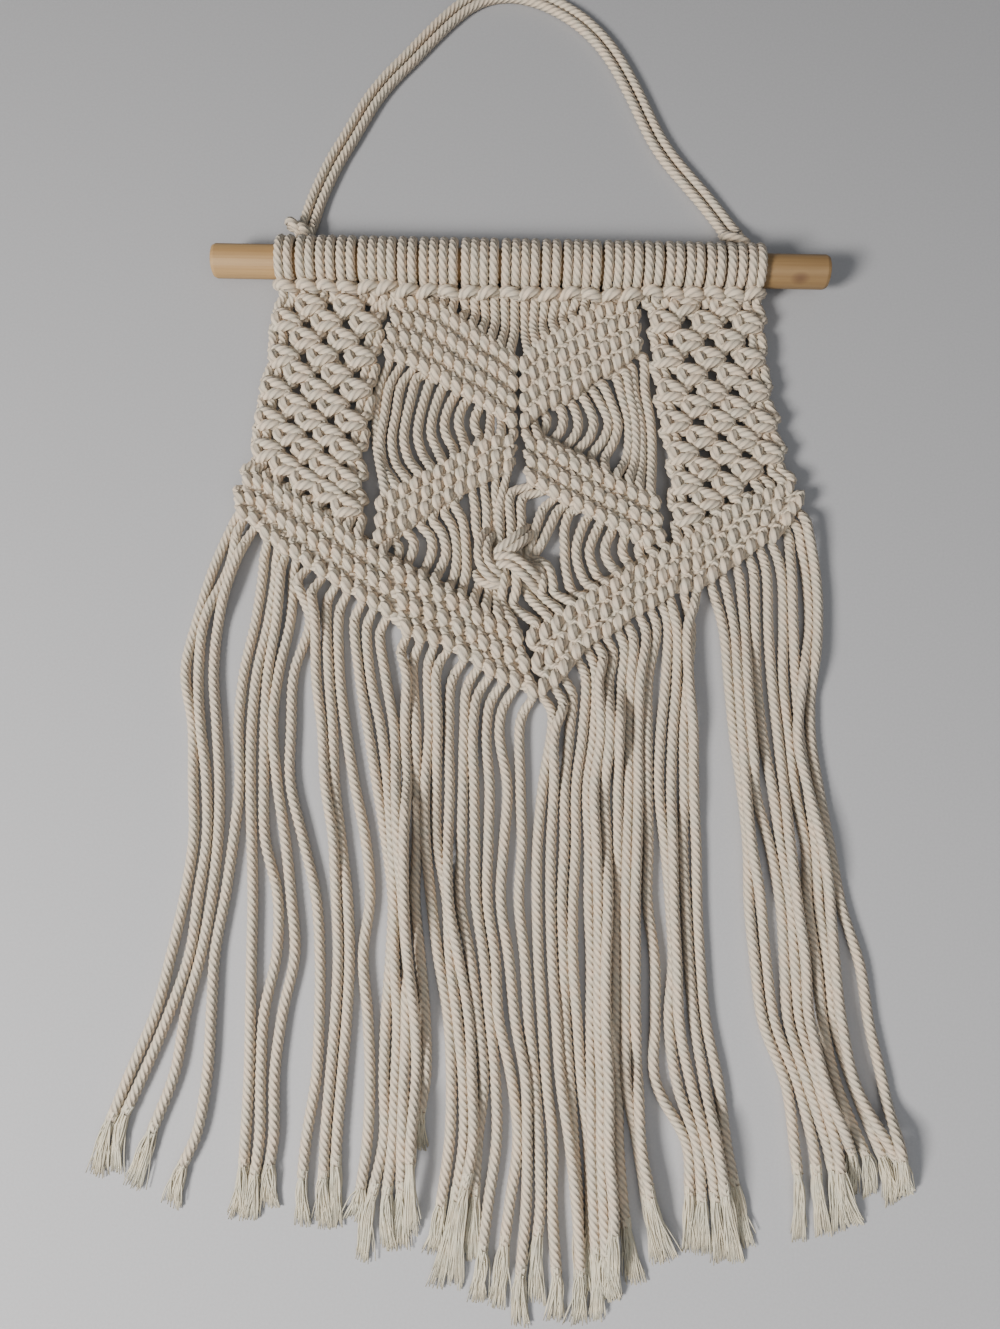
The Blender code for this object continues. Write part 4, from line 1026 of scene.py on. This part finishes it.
def set_bump(tree, height, strength, distance):
    """Relief over the whole material; the distance is in metres."""
    bump = tree.nodes.new("ShaderNodeBump")
    bump.inputs["Strength"].default_value = strength
    bump.inputs["Distance"].default_value = distance
    tree.links.new(height, bump.inputs["Height"])
    tree.links.new(bump.outputs["Normal"], tree.nodes["Principled BSDF"].inputs["Normal"])


def start_material(name, roughness, sheen=0.0):
    material = bpy.data.materials.new(name)
    material.use_nodes = True
    shader = material.node_tree.nodes["Principled BSDF"]
    shader.inputs["Roughness"].default_value = roughness
    shader.inputs["Sheen Weight"].default_value = sheen
    return material


def set_colour(tree, colour):
    tree.links.new(colour, tree.nodes["Principled BSDF"].inputs["Base Color"])


def vector_math(tree, kind, vector, values):
    """A vector node fed by another node's output and three fixed numbers; returns its vector."""
    node = tree.nodes.new("ShaderNodeVectorMath")
    node.operation = kind
    node.inputs[1].default_value = values
    tree.links.new(vector, node.inputs[0])
    return node.outputs[0]


def length_of(tree, vector):
    node = tree.nodes.new("ShaderNodeVectorMath")
    node.operation = "LENGTH"
    tree.links.new(vector, node.inputs[0])
    return node.outputs["Value"]


def object_place(tree):
    return tree.nodes.new("ShaderNodeTexCoord").outputs["Object"]


def parts_of(tree, vector):
    """A vector's three numbers, each an output of its own."""
    node = tree.nodes.new("ShaderNodeSeparateXYZ")
    tree.links.new(vector, node.inputs[0])
    return node.outputs["X"], node.outputs["Y"], node.outputs["Z"]


def make_fibre_group():
    """Cotton fibres: fine streaks, and undyed cotton's faint patches of warmer and cooler white."""
    group = bpy.data.node_groups.new("cotton_fibre", "ShaderNodeTree")
    face = group.interface
    face.new_socket("Lay", in_out="INPUT", socket_type="NodeSocketVector")
    face.new_socket("Warm", in_out="INPUT", socket_type="NodeSocketColor")
    face.new_socket("Cool", in_out="INPUT", socket_type="NodeSocketColor")
    face.new_socket("Colour", in_out="OUTPUT", socket_type="NodeSocketColor")
    face.new_socket("Fibre", in_out="OUTPUT", socket_type="NodeSocketFloat")
    start = group.nodes.new("NodeGroupInput")
    end = group.nodes.new("NodeGroupOutput")
    fibre = noise(group, start.outputs["Lay"], 1.0, 2.0)
    patch = ramp(group, noise(group, object_place(group), PATCHES, 2.0), 0.35, 0.65, 0.0, 1.0)
    colour = blend(group, patch, start.outputs["Cool"], start.outputs["Warm"])
    streaked = tinted(group, colour, ramp(group, fibre, 0.3, 0.7, 0.84, 1.1))
    group.links.new(streaked, end.inputs["Colour"])
    group.links.new(fibre, end.inputs["Fibre"])
    return group


def use_fibre(tree, group, lay, warm, cool):
    node = tree.nodes.new("ShaderNodeGroup")
    node.node_tree = group
    node.inputs["Warm"].default_value = (*warm, 1.0)
    node.inputs["Cool"].default_value = (*cool, 1.0)
    tree.links.new(lay, node.inputs["Lay"])
    return node.outputs["Colour"], node.outputs["Fibre"]


def cord_place(tree):
    """Turns run along the cord and the share of the way round it, from its own unwrapping."""
    uv = tree.nodes.new("ShaderNodeUVMap")
    return parts_of(tree, uv.outputs["UV"])[:2]


def vector(tree, x, y):
    node = tree.nodes.new("ShaderNodeCombineXYZ")
    tree.links.new(x, node.inputs[0])
    tree.links.new(y, node.inputs[1])
    return node.outputs[0]


def make_plied_cotton(group):
    """Twisted cotton cord: plies with painted shade in their grooves, fibres twisted the other way in
    each.
    """
    material = start_material("plied_cotton", 0.85, 0.15)
    tree = material.node_tree
    turns, around = cord_place(tree)
    ply = math_node(tree, "FRACT", math_node(tree, "MULTIPLY", around, float(RIDGES)))
    ridge = math_node(tree, "SINE", math_node(tree, "MULTIPLY", ply, math.pi))
    slant = math_node(tree, "MULTIPLY", around, FIBRES_AROUND)
    slant = math_node(tree, "MULTIPLY_ADD", turns, FIBRES_ALONG, slant)
    lay = vector(tree, math_node(tree, "MULTIPLY", turns, FIBRE_BREAKS), slant)
    colour, fibre = use_fibre(tree, group, lay, COTTON_WARM, COTTON_COOL)
    # painted shade: the grooves between the plies take the dark groove colour
    colour = blend(tree, ramp(tree, ridge, 0.1, 0.75, GROOVE_SHADE, 0.0), colour, PAINTED_GROOVE_SHADE)
    set_colour(tree, colour)
    set_bump(tree, math_node(tree, "MULTIPLY_ADD", fibre, 0.35, ridge), 0.8, 0.0005)
    return material


def make_combed_cotton(group):
    """Yarns combed out of the cord: straight fine fibres, a little shiny."""
    material = start_material("combed_cotton", 0.8, 0.3)
    tree = material.node_tree
    turns, around = cord_place(tree)
    breaks = math_node(tree, "MULTIPLY", turns, COMBED_BREAKS)
    lay = vector(tree, breaks, math_node(tree, "MULTIPLY", around, COMBED_AROUND))
    colour, fibre = use_fibre(tree, group, lay, COMBED_WARM, COMBED_COOL)
    set_colour(tree, colour)
    set_bump(tree, fibre, 0.5, 0.0002)
    return material


def make_bare_wood():
    """Sanded rod: long fine grain, rings on the sawn ends and one small branch knot."""
    material = start_material("bare_wood", 0.55)
    tree = material.node_tree
    place = object_place(tree)
    grain = noise(tree, vector_math(tree, "MULTIPLY", place, GRAIN), 1.0, 3.0)
    broad = noise(tree, place, BROAD_GRAIN, 1.0)
    ring = tree.nodes.new("ShaderNodeTexWave")
    ring.wave_type = "RINGS"
    ring.rings_direction = "X"
    ring.inputs["Scale"].default_value = WOOD_RINGS
    ring.inputs["Distortion"].default_value = 2.5
    tree.links.new(place, ring.inputs["Vector"])
    colour = blend(tree, ramp(tree, grain, 0.3, 0.7, 0.0, 1.0), WOOD_DARK, WOOD_PALE)
    colour = blend(tree, ramp(tree, ring.outputs["Fac"], 0.5, 1.0, 0.0, 0.25), colour, WOOD_DARK)
    colour = tinted(tree, colour, ramp(tree, broad, 0.35, 0.65, 0.92, 1.06))
    # darker towards the right end
    colour = tinted(tree, colour, ramp(tree, parts_of(tree, place)[0], -0.1, 0.13, 0.9, 0.56))
    away = vector_math(tree, "SUBTRACT", place, [c * MM for c in BRANCH_KNOT])
    oval = vector_math(tree, "DIVIDE", away, [c * MM for c in BRANCH_KNOT_SIZE])
    colour = blend(tree, ramp(tree, length_of(tree, oval), 0.5, 1.3, 0.92, 0.0), colour, WOOD_KNOT)
    set_colour(tree, colour)
    set_bump(tree, grain, 0.25, 0.0003)
    return material


def make_pale_floor():
    """A plain pale floor, with painted shade darkening it towards the hanger's end."""
    material = start_material("pale_floor", 0.75)
    tree = material.node_tree
    place = object_place(tree)
    speck = noise(tree, place, SPECKS, 2.0)
    colour = blend(tree, ramp(tree, speck, 0.3, 0.7, 0.0, 1.0), FLOOR_DARK, FLOOR_PALE)
    # painted shade: the floor darkens towards the hanger's end, standing in for less light falling there
    colour = tinted(tree, colour, ramp(tree, parts_of(tree, place)[1], -0.5, 0.3, 1.0, 0.7))
    set_colour(tree, colour)
    return material


# ---- the floor, the lights and the camera ------------------------------------------------------
def make_floor():
    mesh = bpy.data.meshes.new("floor")
    plane = bmesh.new()
    bmesh.ops.create_grid(plane, x_segments=1, y_segments=1, size=FLOOR_REACH)
    plane.to_mesh(mesh)
    plane.free()
    floor = bpy.data.objects.new("floor", mesh)
    bpy.context.scene.collection.objects.link(floor)
    mesh.materials.append(make_pale_floor())


def area_light(name, place, aim, size, watts, colour):
    data = bpy.data.lights.new(name, "AREA")
    data.size = size
    data.energy = watts
    data.color = colour
    lamp = bpy.data.objects.new(name, data)
    lamp.location = place
    lamp.rotation_euler = (Vector(aim) - Vector(place)).to_track_quat("-Z", "Y").to_euler()
    bpy.context.scene.collection.objects.link(lamp)


def light_sky():
    world = bpy.data.worlds.new("studio")
    world.use_nodes = True
    background = world.node_tree.nodes["Background"]
    background.inputs["Color"].default_value = (*SKY, 1.0)
    background.inputs["Strength"].default_value = SKY_STRENGTH
    bpy.context.scene.world = world


def place_camera():
    data = bpy.data.cameras.new("camera")
    data.sensor_fit = "HORIZONTAL"
    data.sensor_width = SENSOR_WIDTH
    data.lens = CAMERA_LENS
    camera = bpy.data.objects.new("camera", data)
    bpy.context.scene.collection.objects.link(camera)
    tilt = Matrix.Rotation(math.radians(CAMERA_TILT), 4, "X")
    roll = Matrix.Rotation(math.radians(CAMERA_ROLL), 4, "Z")
    camera.matrix_world = Matrix.Translation(Vector(CAMERA_PLACE) * MM) @ tilt @ roll
    bpy.context.scene.camera = camera


# ---- build it all --------------------------------------------------------------------------------
place_camera()
rng = random.Random(SEED)
section = make_section("cord_section", CORD, 2 * RIDGES, GROOVE)
yarn_section = make_section("yarn_section", YARN, YARN_SIDES, 1.0)
fibre_group = make_fibre_group()
cotton = make_plied_cotton(fibre_group)
combed = make_combed_cotton(fibre_group)
dowel = bpy.data.objects["dowel"].data
dowel.materials.clear()
dowel.materials.append(make_bare_wood())
make_hanger(section, cotton)
strands = make_strands(rng)
lay_fringe(strands)
cords = make_headings(rng) + strands + make_gathered_knot(rng) + make_ties()
for name, mesh in lay(cords, section).items():
    nodes = ["fringe"] if name.startswith("fringe_") else [name]
    finish_piece(name + "_twisted", mesh, cotton, nodes)
yarns = []
for i in range(STRANDS):
    yarns += comb_out(strands[i], i, rng)
for name, mesh in lay(yarns, yarn_section).items():
    finish_piece(name, mesh, combed, [])
bpy.data.objects.remove(section)
bpy.data.objects.remove(yarn_section)
make_floor()
for light in LIGHTS:
    area_light(*light)
light_sky()
